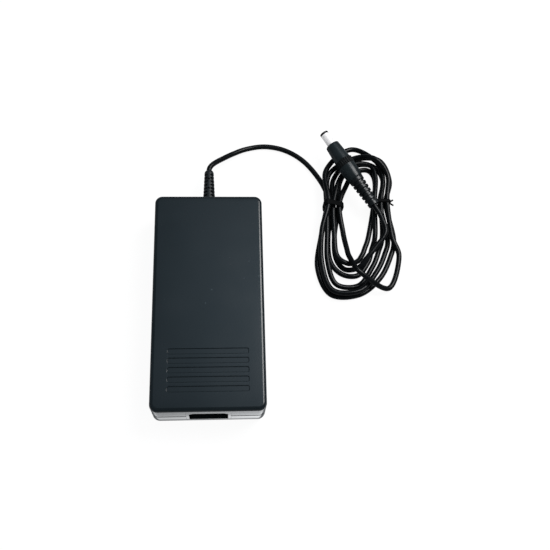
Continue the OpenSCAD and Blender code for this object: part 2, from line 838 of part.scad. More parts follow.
module cord_relief() {
    step = relief_l / (relief_n + 2);
    color([0.07, 0.075, 0.08])
    difference() {
        union() {
            translate([0, cord_y - 0.01, split_z]) rotate([-90, 0, 0])
                cylinder(d1 = relief_d, d2 = relief_end_d, h = relief_l + 0.01, $fn = 48);
            along_y(cord_y, wall + fit_gap) translate([0, split_z]) circle(d = relief_d);
            along_y(cord_y - wall - fit_gap, relief_flange_t)
                translate([0, split_z]) circle(d = relief_flange_d);
        }
        for (i = [0:relief_n - 1], s = [-1, 1]) {
            y = (i + 1.5) * step;
            r = (relief_d + (relief_end_d - relief_d) * y / relief_l) / 2;
            translate([s * r, cord_y + y, split_z])
                cube([2 * relief_notch, step * 0.4, relief_d], center = true);
        }
    }
}

module power_cord() {
    color([0.06, 0.065, 0.07]) tube(cord_route, cord_r, CORD_SIDES);
}

module cord_hank() {
    path = hank_path();
    echo(hank_length = path_length(path), cord_length = path_length(path) + path_length(cord_route));
    echo(hank_least_gap = least_gap(path, hank_far, cord_d));
    color([0.06, 0.065, 0.07]) tube(path, cord_r, HANK_SIDES);
}

// A band round the strands that cross a spoke. Corners are its outermost strands, [lane, level].
module band(spoke, corners, y, width) {
    places = [for (c = corners) hank_point(spoke, c[0], c[1])];
    along_y(y + width / 2, width)
        difference() {
            hull() for (p = places) translate([p[0], p[2]]) circle(cord_r + tie_gap + tie_t, $fn = BALL_FN);
            hull() for (p = places) translate([p[0], p[2]]) circle(cord_r + tie_gap, $fn = BALL_FN);
        }
}

module wide_tie() {
    color([0.05, 0.05, 0.055])
    band(WIDE_TIE, [[-0.1, 0.2], [2, 0.2], [2, 1.2], [-0.1, 2.2]], wide_tie_y, wide_tie_w);
}

module twist_tie() {
    corners = [[0, 0.2], [2.05, 0.2], [2.05, 1.2], [0, 1.2]];
    knot = hank_point(TWIST_TIE, 0, 0.8);
    color([0.06, 0.06, 0.065]) {
        band(TWIST_TIE, corners, twist_tie_y, twist_tie_w);
        for (s = [-1, 1])
            translate([knot[0] + cord_r + tie_gap + tie_t / 2, twist_tie_y + s * knot_r * 0.8, knot[2]])
                rotate([0, 90, 0]) rotate([-s * knot_splay, 0, 0]) cylinder(r = knot_r, h = knot_l);
    }
}

// ---------------------------------------------------------------------------------------------
// Plug

module on_plug(x) {
    translate(plug_end) rotate([0, 0, plug_turn]) rotate([0, -plug_pitch, 0])
        translate([x, 0, 0]) rotate([0, 90, 0]) children();
}

// A tapered tail cut into ribs
module plug_tail() {
    pitch = tail_l / (rib_n + 1);
    color([0.06, 0.065, 0.07])
    on_plug(0)
        difference() {
            cylinder(d1 = tail_end_d, d2 = tail_d, h = tail_l);
            for (i = [1:rib_n]) {
                r = (tail_end_d + (tail_d - tail_end_d) * i / (rib_n + 1)) / 2;
                translate([0, 0, i * pitch])
                    difference() {
                        cylinder(d = collar_d, h = pitch * rib_gap, center = true);
                        cylinder(r = r - rib_depth, h = pitch, center = true);
                    }
            }
        }
}

// The tapered part and its notched collar
module plug_taper() {
    color([0.07, 0.075, 0.08])
    on_plug(tail_l)
        difference() {
            union() {
                rotate_extrude()
                    polygon([[0, 0], [tail_d / 2, 0], [taper_knee_d / 2, taper_l * taper_knee],
                             [taper_d / 2, taper_l], [0, taper_l]]);
                translate([0, 0, taper_l]) cylinder(d = collar_d, h = collar_w);
            }
            for (i = [0:collar_n - 1])
                rotate([0, 0, 360 * i / collar_n])
                    translate([collar_d / 2, 0, taper_l + collar_w / 2])
                        cube([2 * collar_notch, collar_notch, collar_w + 1], center = true);
        }
}

module plug_grip() {
    color([0.07, 0.075, 0.08])
    on_plug(grip_x)
        rotate_extrude()
            polygon([[0, 0], [grip_back_d / 2, 0], [grip_d / 2, grip_l - grip_round],
                     [grip_d / 2 - grip_round, grip_l], [0, grip_l]]);
}

module plug_barrel() {
    color([0.82, 0.82, 0.8])
    on_plug(barrel_x)
        difference() {
            cylinder(r = barrel_r, h = barrel_l);
            translate([0, 0, -1]) cylinder(r = barrel_r - barrel_wall, h = barrel_l + 2);
        }
}

// Fills the barrel round the sleeve and ends in a ring over the barrel's rim
module plug_insulator() {
    color([0.05, 0.05, 0.05])
    on_plug(barrel_x)
        difference() {
            union() {
                cylinder(r = barrel_r - barrel_wall, h = barrel_l);
                translate([0, 0, barrel_l]) cylinder(r = barrel_r, h = tip_t);
            }
            translate([0, 0, -1]) cylinder(r = sleeve_r, h = barrel_l + tip_t + 2);
        }
}

module plug_sleeve() {
    color([0.8, 0.75, 0.55])
    on_plug(barrel_x)
        difference() {
            cylinder(r = sleeve_r, h = barrel_l);
            translate([0, 0, sleeve_floor]) cylinder(d = plug_bore_d, h = barrel_l);
        }
}

top_cover();
bottom_cover();
rubber_feet();
case_screws();
inlet_housing();
line_pin();
neutral_pin();
earth_pin();
insulating_sheet();
circuit_board();
fuse();
noise_capacitor();
choke_core();
choke_windings();
bridge_rectifier();
reservoir_capacitor();
primary_heat_sink();
switch_transistor();
transformer_core();
transformer_bobbin();
transformer_winding();
safety_capacitor();
optocoupler();
control_chip();
secondary_heat_sink();
output_diodes();
output_capacitors();
output_choke();
heat_spreader();
output_leads();
cord_relief();
power_cord();
cord_hank();
wide_tie();
twist_tie();
plug_tail();
plug_taper();
plug_grip();
plug_barrel();
plug_insulator();
plug_sleeve();
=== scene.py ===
"""Dresses the mains adapter: its case, mains socket, electronics, tied output cord and barrel plug.

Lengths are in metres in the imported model's own frame: the origin is under the middle of the case,
+Y runs towards the end that the output cord leaves, and +Z is up.
"""

from __future__ import annotations

import logging
import math
from dataclasses import dataclass, field
from enum import Enum
from typing import Callable, Iterable, Sequence

import bmesh
import bpy
from mathutils import Matrix, Vector

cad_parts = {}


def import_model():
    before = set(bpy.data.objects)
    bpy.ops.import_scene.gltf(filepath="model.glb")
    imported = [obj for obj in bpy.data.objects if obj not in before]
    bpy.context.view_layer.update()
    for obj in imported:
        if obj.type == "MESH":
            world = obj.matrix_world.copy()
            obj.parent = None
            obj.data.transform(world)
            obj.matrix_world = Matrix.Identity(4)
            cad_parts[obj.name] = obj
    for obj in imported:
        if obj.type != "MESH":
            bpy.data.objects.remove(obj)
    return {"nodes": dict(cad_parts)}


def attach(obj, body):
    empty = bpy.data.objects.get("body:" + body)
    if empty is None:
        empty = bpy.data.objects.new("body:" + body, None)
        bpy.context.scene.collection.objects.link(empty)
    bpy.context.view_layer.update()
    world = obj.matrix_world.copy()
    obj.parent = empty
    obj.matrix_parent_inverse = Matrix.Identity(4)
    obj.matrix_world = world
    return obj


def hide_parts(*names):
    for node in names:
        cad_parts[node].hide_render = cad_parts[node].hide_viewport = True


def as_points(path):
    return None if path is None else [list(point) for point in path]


LOG = logging.getLogger("adapter")

MM = 0.001
BODY = "root"

Colour = tuple[float, float, float]
Point = tuple[float, float, float]
Pair = tuple[float, float]


class Slot(Enum):
    """Names of material slots. Pieces are handed one when they are fitted, but their finish does not come
    from it.
    """

    CASE = "case_black"
    FOOT = "foot_rubber"
    INLET = "inlet_black"
    PIN = "pin_nickel"
    CORD = "cord_black"
    TIE = "tie_black"
    BARREL = "barrel_nickel"
    CHIP = "chip_black"
    SLEEVE = "sleeve_brass"


class Axis(Enum):
    """The part's axes, as unit vectors."""

    X = (1.0, 0.0, 0.0)
    Y = (0.0, 1.0, 0.0)
    Z = (0.0, 0.0, 1.0)


def clamp(value: float) -> float:
    """The value, kept between 0 and 1."""
    return min(1.0, max(0.0, value))


# ------------------------------------------------------------
# Shader maths


class Term:
    """One number socket of a node tree, on which Python's operators add Math nodes."""

    def __init__(self, tree: Tree, socket: bpy.types.NodeSocket) -> None:
        """Wraps an output socket of a tree, which gives a number, a colour or a vector."""
        self.tree = tree
        self.socket = socket

    def _maths(self, operation: str, *operands: Term | float) -> Term:
        """Adds one Math node on these operands."""
        return self.tree.node("ShaderNodeMath", {"operation": operation}, dict(enumerate(operands)))

    def __add__(self, other: Term | float) -> Term:
        """Sum."""
        return self._maths("ADD", self, other)

    def __mul__(self, other: Term | float) -> Term:
        """Product."""
        return self._maths("MULTIPLY", self, other)

    def larger(self, other: Term | float) -> Term:
        """The larger of two numbers."""
        return self._maths("MAXIMUM", self, other)

    def sine(self) -> Term:
        """Sine of a number in radians."""
        return self._maths("SINE", self)

    def ramp(self, low: float, high: float, to_low: float = 0.0, to_high: float = 1.0) -> Term:
        """Eases from to_low to to_high while the term goes from low to high."""
        inputs = {"Value": self, "From Min": low, "From Max": high, "To Min": to_low, "To Max": to_high}
        return self.tree.node("ShaderNodeMapRange", {"interpolation_type": "SMOOTHSTEP"}, inputs)


class Tree:
    """Short ways to add nodes to a material's or the world's node tree."""

    def __init__(self, tree: bpy.types.NodeTree, coordinates: str) -> None:
        """Wraps a tree.

        Args:
            tree: The tree.
            coordinates: The texture coordinates that its patterns follow.
        """
        self.tree = tree
        place = tree.nodes.new("ShaderNodeTexCoord")
        self.place = Term(self, place.outputs[coordinates])

    def node(self, kind: str, settings: dict | None = None, inputs: dict | None = None,
             output: str | int = 0) -> Term:
        """Adds a node.

        Args:
            kind: The node's type name.
            settings: Attributes that are set before the sockets.
            inputs: Values or terms for input sockets, by name or number.
            output: Name or number of the output that is wanted.

        Returns:
            The wanted output.
        """
        made = self.tree.nodes.new(kind)
        for name, value in (settings or {}).items():
            setattr(made, name, value)
        for key, value in (inputs or {}).items():
            self.feed(made.inputs[key], value)
        return Term(self, made.outputs[output])

    def feed(self, socket: bpy.types.NodeSocket, value: Term | float | Sequence[float]) -> None:
        """Links a term to a socket, or sets the socket to a constant."""
        if isinstance(value, Term):
            self.tree.links.new(value.socket, socket)
        elif isinstance(value, (tuple, list)) and len(socket.default_value) == 4 and len(value) == 3:
            socket.default_value = (*value, 1.0)
        else:
            socket.default_value = value

    def ray(self, kind: str) -> Term:
        """A mask of one kind of ray, such as Camera or Glossy."""
        return self.node("ShaderNodeLightPath", {}, {}, f"Is {kind} Ray")

    def stretched(self, scale: Sequence[float]) -> Term:
        """The place on the piece in metres, times a scale along each axis."""
        inputs = {0: self.place, 1: tuple(scale)}
        return self.node("ShaderNodeVectorMath", {"operation": "MULTIPLY"}, inputs)

    def noise(self, size: float, detail: float = 3.0, where: Term | None = None) -> Term:
        """Soft noise from 0 to 1, by the rough size of its patches in metres and its finer layers."""
        inputs = {"Vector": where or self.place, "Scale": 1.0 / size, "Detail": detail, "Roughness": 0.55}
        return self.node("ShaderNodeTexNoise", {}, inputs)

    def axis(self, axis: Axis) -> Term:
        """One coordinate of the place on the piece, in metres."""
        return self.node("ShaderNodeSeparateXYZ", {}, {0: self.place}, "XYZ".index(axis.name))

    def distance(self, centre: Point) -> Term:
        """Distance in metres from a point."""
        inputs = {0: self.place, 1: tuple(centre)}
        return self.node("ShaderNodeVectorMath", {"operation": "DISTANCE"}, inputs, "Value")

    def blend(self, mask: Term, low: Colour | Term, high: Colour | Term) -> Term:
        """Mixes two colours.

        Args:
            mask: The share of the second colour, from 0 to 1.
            low: The first colour.
            high: The second colour.

        Returns:
            The mixed colour.
        """
        made = self.tree.nodes.new("ShaderNodeMix")
        made.data_type = "RGBA"
        self.feed(made.inputs[0], mask)
        self.feed(made.inputs[6], low)
        self.feed(made.inputs[7], high)
        return Term(self, made.outputs[2])


class Shader(Tree):
    """A new material with a Principled BSDF."""

    def __init__(self, name: str) -> None:
        """Makes the material.

        Args:
            name: Name of the material, in plain words.
        """
        self.material = bpy.data.materials.new(name)
        self.material.use_nodes = True
        super().__init__(self.material.node_tree, "Object")
        self.surface = self.tree.nodes["Principled BSDF"]
        self.output = self.tree.nodes["Material Output"]

    def set(self, **values: Term | float | Colour) -> None:
        """Feeds sockets of the Principled BSDF, with underscores for the blanks in their names."""
        for name, value in values.items():
            self.feed(self.surface.inputs[name.replace("_", " ")], value)

    def bump(self, height: Term, depth: float) -> None:
        """Feeds a height from 0 to 1 to the surface's normal, where 1 means a depth in metres."""
        inputs = {"Strength": 1.0, "Distance": depth, "Height": height}
        self.set(Normal=self.node("ShaderNodeBump", {}, inputs))


# ------------------------------------------------------------
# Finishes


@dataclass(frozen=True)
class Finish:
    """A named finish that can make its material."""

    name: str
    colour: Colour

    def make(self) -> bpy.types.Material:
        """Makes the material.

        Returns:
            The material.
        """
        shader = Shader(self.name)
        self.paint(shader)
        return shader.material

    def paint(self, shader: Shader) -> None:
        """Adds the finish's patterns to a shader."""
        raise NotImplementedError


@dataclass(frozen=True)
class Scuff:
    """A small pale mark."""

    place: Point
    radius: float
    strength: float


@dataclass(frozen=True)
class MouldedPlastic(Finish):
    """Moulded plastic with a fine grain, a little dust and a few scuffs."""

    worn: Colour
    roughness: float
    cloud_size: float = 45 * MM
    dust_size: float = 2.2 * MM
    grain_size: float = 0.6 * MM
    grain_depth: float = 0.0008 * MM
    scuffs: tuple[Scuff, ...] = ()

    def paint(self, shader: Shader) -> None:
        """Adds the clouds, dust, scuffs and grain."""
        cloud = shader.noise(self.cloud_size, 2.0)
        dust = shader.noise(self.dust_size, 4.0).ramp(0.66, 0.84)
        colour = shader.blend(cloud.ramp(0.3, 0.7), self.colour, self.worn)
        marks = dust * 0.06
        for scuff in self.scuffs:
            spread = shader.noise(1.2 * MM, 3.0) * scuff.radius * 1.4
            away = shader.distance(scuff.place) + spread
            marks = marks.larger(away.ramp(scuff.radius * 0.6, scuff.radius * 1.7, scuff.strength, 0.0))
        pale = tuple(min(1.0, 6 * c + 0.03) for c in self.worn)
        rough = cloud.ramp(0.3, 0.7, self.roughness - 0.03, self.roughness + 0.03) + dust * 0.15
        shader.set(Base_Color=shader.blend(marks, colour, pale), Roughness=rough + marks * 0.1, IOR=1.5)
        shader.bump(shader.noise(self.grain_size, 2.0), self.grain_depth)


@dataclass(frozen=True)
class SoftVinyl(Finish):
    """The cord's and the plug's soft jacket: smooth, satin, with faint waves."""

    roughness: float
    shine: float = 0.35
    cloud_size: float = 12 * MM
    film_size: float = 0.9 * MM
    wave_size: float = 6 * MM
    wave_depth: float = 0.02 * MM

    def paint(self, shader: Shader) -> None:
        """Adds the clouds, the worn film and the waves."""
        cloud = shader.noise(self.cloud_size, 3.0).ramp(0.35, 0.7)
        film = shader.noise(self.film_size, 3.0)
        lift = tuple(1.7 * c + 0.002 for c in self.colour)
        shader.set(Base_Color=shader.blend(cloud, self.colour, lift),
                   Roughness=film.ramp(0.2, 0.8, self.roughness - 0.05, self.roughness + 0.06))
        shader.set(IOR=1.5, Specular_IOR_Level=self.shine)
        shader.bump(shader.noise(self.wave_size, 1.0), self.wave_depth)


@dataclass(frozen=True)
class Rubber(Finish):
    """Matt rubber or soft plastic with a fine grain."""

    roughness: float = 0.76
    shine: float = 0.5
    grime_size: float = 1.5 * MM
    grain_size: float = 0.3 * MM
    grain_depth: float = 0.02 * MM

    def paint(self, shader: Shader) -> None:
        """Adds the grime and the grain."""
        grime = shader.noise(self.grime_size, 4.0)
        lift = tuple(2.2 * c + 0.002 for c in self.colour)
        shader.set(Base_Color=shader.blend(grime, self.colour, lift),
                   Roughness=grime.ramp(0.2, 0.8, self.roughness - 0.08, self.roughness + 0.1))
        shader.set(Specular_IOR_Level=self.shine)
        shader.bump(shader.noise(self.grain_size, 2.0), self.grain_depth)


@dataclass(frozen=True)
class PlatedMetal(Finish):
    """Plated or bare metal with turning or drawing marks."""

    roughness: float
    mark_size: Point = (0.3 * MM, 4 * MM, 0.3 * MM)
    tarnish: Colour = (0.35, 0.33, 0.3)
    metallic: float = 1.0

    def paint(self, shader: Shader) -> None:
        """Adds the tarnish and the marks."""
        marks = shader.noise(1.0 * MM, 3.0, shader.stretched([MM / size for size in self.mark_size]))
        dull = shader.noise(5 * MM, 3.0).ramp(0.45, 0.8)
        rough = marks.ramp(0.2, 0.8, self.roughness * 0.8, self.roughness * 1.3)
        shader.set(Base_Color=shader.blend(dull * 0.35, self.colour, self.tarnish),
                   Roughness=rough + dull * 0.1, Metallic=self.metallic)
        shader.bump(marks, 0.01 * MM)


@dataclass(frozen=True)
class Speckled(Finish):
    """A matt surface of grains, such as ferrite, film, epoxy or a dipped coat."""

    other: Colour
    roughness: float
    size: float = 0.6 * MM
    depth: float = 0.03 * MM
    coat: float = 0.0

    def paint(self, shader: Shader) -> None:
        """Adds the grains and faint clouds."""
        grain = shader.noise(self.size, 4.0)
        cloud = shader.noise(8 * MM, 2.0)
        shader.set(Base_Color=shader.blend(grain.ramp(0.35, 0.75), self.colour, self.other),
                   Roughness=cloud.ramp(0.3, 0.7, self.roughness - 0.06, self.roughness + 0.06))
        shader.set(Coat_Weight=self.coat)
        shader.bump(grain, self.depth)


@dataclass(frozen=True)
class WoundWire(Finish):
    """Enamelled wire or tape, laid turn beside turn along one axis."""

    # groove: a darker colour for the troughs between turns, painted shade where the round turns meet
    groove: Colour
    pitch: float
    axis: Axis
    roughness: float = 0.35

    def paint(self, shader: Shader) -> None:
        """Adds the turns, and paints shade into the grooves between them."""
        turn = (shader.axis(self.axis) * (math.tau / self.pitch)).sine() * 0.5 + 0.5
        film = shader.noise(1 * MM)
        # painted shade: the groove colour darkens the troughs between the turns
        shader.set(Base_Color=shader.blend(turn.ramp(0.0, 0.45), self.groove, self.colour),
                   Roughness=film.ramp(0.3, 0.7, self.roughness - 0.08, self.roughness + 0.1))
        shader.bump(turn, self.pitch * 0.3)


@dataclass(frozen=True)
class BoardLacquer(Finish):
    """A circuit board: lacquered glass fibre with copper tracks that show through."""

    colour: Colour = (0.02, 0.12, 0.05)
    track: Colour = (0.06, 0.25, 0.1)
    pitch: float = 5 * MM

    def paint(self, shader: Shader) -> None:
        """Adds the tracks and the lacquer's sheen."""
        inputs = {"Vector": shader.place, "Scale": 1.0 / self.pitch, "Randomness": 0.7}
        cell = shader.node("ShaderNodeTexVoronoi", {"distance": "CHEBYCHEV"}, inputs, "Distance")
        track = cell.ramp(0.28, 0.34)
        shader.set(Base_Color=shader.blend(track, self.colour, self.track),
                   Roughness=shader.noise(1.5 * MM).ramp(0.3, 0.7, 0.3, 0.42))
        shader.bump(track, 0.04 * MM)


@dataclass(frozen=True)
class ClearGlass(Finish):
    """The fuse's tube: glass with a faint film of dust."""

    colour: Colour = (0.75, 0.8, 0.78)
    dusty: Colour = (0.9, 0.92, 0.9)

    def paint(self, shader: Shader) -> None:
        """Adds the film."""
        film = shader.noise(2 * MM, 3.0)
        shader.set(Base_Color=shader.blend(film, self.colour, self.dusty),
                   Roughness=film.ramp(0.3, 0.8, 0.05, 0.2))
        shader.set(Transmission_Weight=0.6, IOR=1.5)


# ------------------------------------------------------------
# Meshes


class MeshKit:
    """Ways to turn rings of points into objects."""

    @staticmethod
    def turns(count: int) -> list[float]:
        """The angles, in radians, that divide a full turn into a number of steps."""
        return [math.tau * k / count for k in range(count)]

    @staticmethod
    def add(name: str, points: Sequence[Point], faces: Sequence[Sequence[int]], crease: float = 35.0
            ) -> bpy.types.Object:
        """Makes a smooth-shaded mesh object.

        Args:
            name: Name of the piece.
            points: Its vertices.
            faces: Its faces, as lists of vertex numbers.
            crease: Edges sharper than this angle, in degrees, stay sharp.

        Returns:
            The object, linked to the scene.
        """
        mesh = bpy.data.meshes.new(name)
        mesh.from_pydata([tuple(p) for p in points], [], [tuple(f) for f in faces])
        mesh.validate()
        made = MeshKit.place(name, mesh)
        MeshKit.tidy(made, crease)
        return made

    @staticmethod
    def place(name: str, data: bpy.types.ID) -> bpy.types.Object:
        """Makes an object of a mesh, lamp or camera, linked to the scene."""
        made = bpy.data.objects.new(name, data)
        bpy.context.scene.collection.objects.link(made)
        return made

    @staticmethod
    def tidy(piece: bpy.types.Object, crease: float = 35.0) -> None:
        """Turns all faces outwards and shades the piece smooth, apart from its sharp edges.

        Args:
            piece: The piece.
            crease: Edges sharper than this angle, in degrees, stay sharp.
        """
        work = bmesh.new()
        work.from_mesh(piece.data)
        bmesh.ops.recalc_face_normals(work, faces=work.faces)
        work.to_mesh(piece.data)
        work.free()
        piece.data.shade_smooth()
        piece.data.set_sharp_from_angle(angle=math.radians(crease))

    @staticmethod
    def loft(rings: Sequence[Sequence[Point]], first: int = 0) -> list[tuple[int, ...]]:
        """Faces between closed rings that follow each other, of one number of points each.

        Args:
            rings: The rings.
            first: Number of the first ring's first vertex.

        Returns:
            The side faces.
        """
        count = len(rings[0])
        faces = []
        for row in range(len(rings) - 1):
            for k in range(count):
                a = first + row * count + k
                b = first + row * count + (k + 1) % count
                faces.append((a, b, b + count, a + count))
        return faces

    @classmethod
    def solid(cls, name: str, rings: Sequence[Sequence[Point]], crease: float = 35.0) -> bpy.types.Object:
        """Makes a closed solid from rings, with flat ends.

        Args:
            name: Name of the piece.
            rings: Closed rings from one end to the other.
            crease: Edges sharper than this angle, in degrees, stay sharp.

        Returns:
            The object.
        """
        count = len(rings[0])
        points = [p for ring in rings for p in ring]
        faces = cls.loft(rings)
        faces.append(tuple(range(count)))
        faces.append(tuple(range(len(points) - count, len(points))))
        return cls.add(name, points, faces, crease)

    @classmethod
    def upright(cls, name: str, place: Pair, profile: Sequence[Pair],
                sides: int = 40) -> bpy.types.Object:
        """Makes a round upright solid where its axis stands, from its radii and heights."""
        return cls.solid(name, [
            [(place[0] + r * math.cos(a), place[1] + r * math.sin(a), z) for a in cls.turns(sides)]
            for r, z in profile])

    @classmethod
    def tube(cls, name: str, rings: Sequence[Sequence[Point]], crease: float = 35.0) -> bpy.types.Object:
        """Makes a solid whose last ring joins its first, such as a hollow turned piece."""
        points = [p for ring in rings for p in ring]
        faces = cls.loft([*rings, rings[0]])
        return cls.add(name, points, [[i % len(points) for i in face] for face in faces], crease)

    @staticmethod
    def join(name: str, parts: Sequence[bpy.types.Object]) -> bpy.types.Object:
        """Joins objects into one piece.

        Args:
            name: Name of the piece.
            parts: The objects, which are used up.

        Returns:
            The joined object.
        """
        with bpy.context.temp_override(active_object=parts[0], selected_editable_objects=list(parts)):
            bpy.ops.object.join()
        parts[0].name = name
        parts[0].data.name = name
        return parts[0]

    @staticmethod
    def apply(piece: bpy.types.Object) -> None:
        """Turns a piece's modifiers into mesh."""
        graph = bpy.context.evaluated_depsgraph_get()
        made = bpy.data.meshes.new_from_object(piece.evaluated_get(graph))
        piece.modifiers.clear()
        piece.data = made

    @classmethod
    def cut(cls, piece: bpy.types.Object, cutters: Iterable[bpy.types.Object]) -> None:
        """Cuts other solids out of a piece, and deletes them."""
        for cutter in cutters:
            step = piece.modifiers.new("cut", "BOOLEAN")
            step.operation = "DIFFERENCE"
            step.solver = "EXACT"
            step.object = cutter
            cls.apply(piece)
            bpy.data.objects.remove(cutter)

    @classmethod
    def soften(cls, piece: bpy.types.Object, width: float, angle: float = 40.0, segments: int = 3) -> None:
        """Rounds a piece's sharp edges.

        Args:
            piece: The piece.
            width: Width of the rounding in metres.
            angle: Least angle, in degrees, between the faces at an edge that is rounded.
            segments: Number of faces across the rounding.
        """
        step = piece.modifiers.new("soften", "BEVEL")
        step.width = width
        step.segments = segments
        step.limit_method = "ANGLE"
        step.angle_limit = math.radians(angle)
        step.use_clamp_overlap = True
        cls.apply(piece)
        piece.data.shade_smooth()
        piece.data.set_sharp_from_angle(angle=math.radians(angle))
        cls.level(piece)

    @classmethod
    def level(cls, piece: bpy.types.Object) -> None:
        """Makes a smooth-shaded piece's large flat faces look flat up to their edges."""
        weigh = piece.modifiers.new("weigh", "WEIGHTED_NORMAL")
        weigh.keep_sharp = True
        cls.apply(piece)

    @classmethod
    def softened_copy(cls, name: str, node: str, width: float) -> bpy.types.Object:
        """Copies a node's mesh into a new piece, with its flat faces whole and its edges rounded.

        Args:
            name: Name of the new piece.
            node: The node.
            width: Width of the rounding in metres.

        Returns:
            The new piece.
        """
        work = bmesh.new()
        work.from_mesh(Fitter.nodes[node].data)
        bmesh.ops.remove_doubles(work, verts=work.verts, dist=1e-6)
        bmesh.ops.dissolve_limit(work, angle_limit=math.radians(1), verts=work.verts, edges=work.edges)
        mesh = bpy.data.meshes.new(name)
        work.to_mesh(mesh)
        work.free()
        made = cls.place(name, mesh)
        cls.tidy(made)
        cls.soften(made, width)
        return made


class Fitter:
    """Gives pieces their finish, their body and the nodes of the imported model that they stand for."""

    nodes: dict[str, bpy.types.Object] = {}

    @classmethod
    def load(cls) -> None:
        """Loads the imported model."""
        cls.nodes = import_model()["nodes"]

    @staticmethod
    def fit(piece: bpy.types.Object, finish: bpy.types.Material, slot: Slot,
            replaces: Sequence[str] = ()) -> bpy.types.Object:
        """Fits one piece.

        Args:
            piece: The piece.
            finish: Its material.
            slot: Not used.
            replaces: Names of the nodes that it stands for.

        Returns:
            The piece.
        """
        piece.data.materials.clear()
        piece.data.materials.append(finish)
        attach(piece, BODY)
        if replaces:
            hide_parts(*replaces)
        LOG.info("piece %s stands for %s", piece.name, ", ".join(replaces) or "itself")
        return piece

    @classmethod
    def dress(cls, node: str, finish: bpy.types.Material) -> None:
        """Gives a node that stays its finish."""
        for place in cls.nodes[node].material_slots:
            place.material = finish
        LOG.info("node %s is finished in %s", node, finish.name)


# ------------------------------------------------------------
# Studio


@dataclass
class Studio:
    """The camera, the floor and the light."""

    azimuth: float = -10.459
    elevation: float = 67.98
    roll: float = 9.379
    position: Point = (0.00974, -0.16702, 0.48892)
    lens: float = 49.45
    sensor: float = 36.0
    near_clip: float = 0.01
    floor_size: float = 6.0
    floor_drop: float = 0.05 * MM
    floor_colour: Colour = (0.86, 0.86, 0.86)
    floor_share: float = 0.88
    floor_glow: Colour = (1.05, 1.05, 1.05)
    floor_bright: Colour = (2.4, 2.45, 2.5)
    floor_dim: Colour = (0.16, 0.17, 0.18)
    bright_start: Pair = (-90 * MM, -80 * MM)
    bright_step: Pair = (-77.5 * MM, -76.3 * MM)
    bright_end: Pair = (-75.5 * MM, -73.8 * MM)
    bright_sides: Pair = (-45 * MM, 45 * MM)
    far_share: float = 0.5
    left_share: float = 0.55
    sky: Colour = (0.95, 0.97, 1.0)
    sky_strength: float = 0.6
    room_dark: Colour = (0.02, 0.022, 0.025)
    room_pale: Colour = (0.75, 1.0, 1.2)
    pale_place: Point = (0.12, 0.33, 0.94)
    pale_reach: float = 0.34
    pale_rest: float = 0.05
    lamp_place: Point = (0.6, 0.38, 1.0)
    lamp_aim: Point = (0.03, 0.02, 0)
    lamp_size: Pair = (0.5, 0.7)
    lamp_power: float = 9.5

    def camera(self) -> None:
        """Makes the camera, which looks down on the case from its near end."""
        turn, tilt, roll = (math.radians(a) for a in (self.azimuth, self.elevation, self.roll))
        back = Vector((math.sin(turn) * math.cos(tilt), -math.cos(turn) * math.cos(tilt), math.sin(tilt)))
        right = (-back).cross(Vector(Axis.Z.value)).normalized()
        up = right.cross(-back)
        across = right * math.cos(roll) + up * math.sin(roll)
        upwards = up * math.cos(roll) - right * math.sin(roll)
        data = bpy.data.cameras.new("camera")
        data.lens = self.lens
        data.sensor_width = self.sensor
        data.clip_start = self.near_clip
        made = MeshKit.place("camera", data)
        facing = Matrix((across, upwards, back)).transposed().to_4x4()
        made.matrix_world = Matrix.Translation(self.position) @ facing
        bpy.context.scene.camera = made

    def floor(self) -> None:
        """Makes the pale floor, which keeps the object's soft shadow.

        What shines sees it dim, apart from a bright strip before the near wall, which fades to the left
        and steps up close to the wall.
        """
        half = self.floor_size / 2
        corners = [(-half, -half, 0), (half, -half, 0), (half, half, 0), (-half, half, 0)]
        made = MeshKit.add("floor", corners, [(0, 1, 2, 3)])
        made.location.z = -self.floor_drop
        shader = Shader("pale floor")
        shader.set(Base_Color=self.floor_colour, Roughness=0.9, Specular_IOR_Level=0.0)
        glossy = shader.ray("Glossy")
        seen = shader.ray("Camera").larger(glossy).larger(shader.ray("Transmission"))
        along = shader.axis(Axis.Y)
        strip = along.ramp(*self.bright_start) * along.ramp(*self.bright_end, 1.0, 0.0)
        strip = strip * along.ramp(*self.bright_step, self.far_share, 1.0)
        strip = strip * shader.axis(Axis.X).ramp(*self.bright_sides, self.left_share, 1.0)
        mirrored = shader.blend(strip, self.floor_dim, self.floor_bright)
        colour = shader.blend(glossy, self.floor_glow, mirrored)
        glow = shader.node("ShaderNodeEmission", {}, {"Color": colour})
        mix = shader.tree.nodes.new("ShaderNodeMixShader")
        shader.feed(mix.inputs[0], seen * self.floor_share)
        shader.tree.links.new(shader.surface.outputs[0], mix.inputs[1])
        shader.feed(mix.inputs[2], glow)
        shader.tree.links.new(mix.outputs[0], shader.output.inputs[0])
        made.data.materials.append(shader.material)

    def sky_dome(self) -> None:
        """Lights the world evenly. What shines sees a dark room with a pale patch on its ceiling."""
        world = bpy.data.worlds.new("studio")
        world.use_nodes = True
        bpy.context.scene.world = world
        sky = Tree(world.node_tree, "Generated")
        patch = sky.distance(self.pale_place).ramp(0.0, self.pale_reach, 1.0, self.pale_rest)
        room = sky.blend(patch, self.room_dark, self.room_pale)
        light = sky.blend(sky.ray("Glossy"), tuple(self.sky_strength * c for c in self.sky), room)
        white = sky.blend(sky.ray("Camera").larger(sky.ray("Transmission")), light, (1, 1, 1))
        sky.feed(sky.tree.nodes["Background"].inputs["Color"], white)

    def lamp(self) -> None:
        """Adds the lamp: a large soft box above and to the right."""
        data = bpy.data.lights.new("right soft box", "AREA")
        data.shape = "RECTANGLE"
        data.size, data.size_y = self.lamp_size
        data.energy = self.lamp_power
        made = MeshKit.place(data.name, data)
        facing = (Vector(self.lamp_aim) - Vector(self.lamp_place)).to_track_quat("-Z", "Y")
        made.matrix_world = Matrix.Translation(self.lamp_place) @ facing.to_matrix().to_4x4()


# ------------------------------------------------------------
# Case


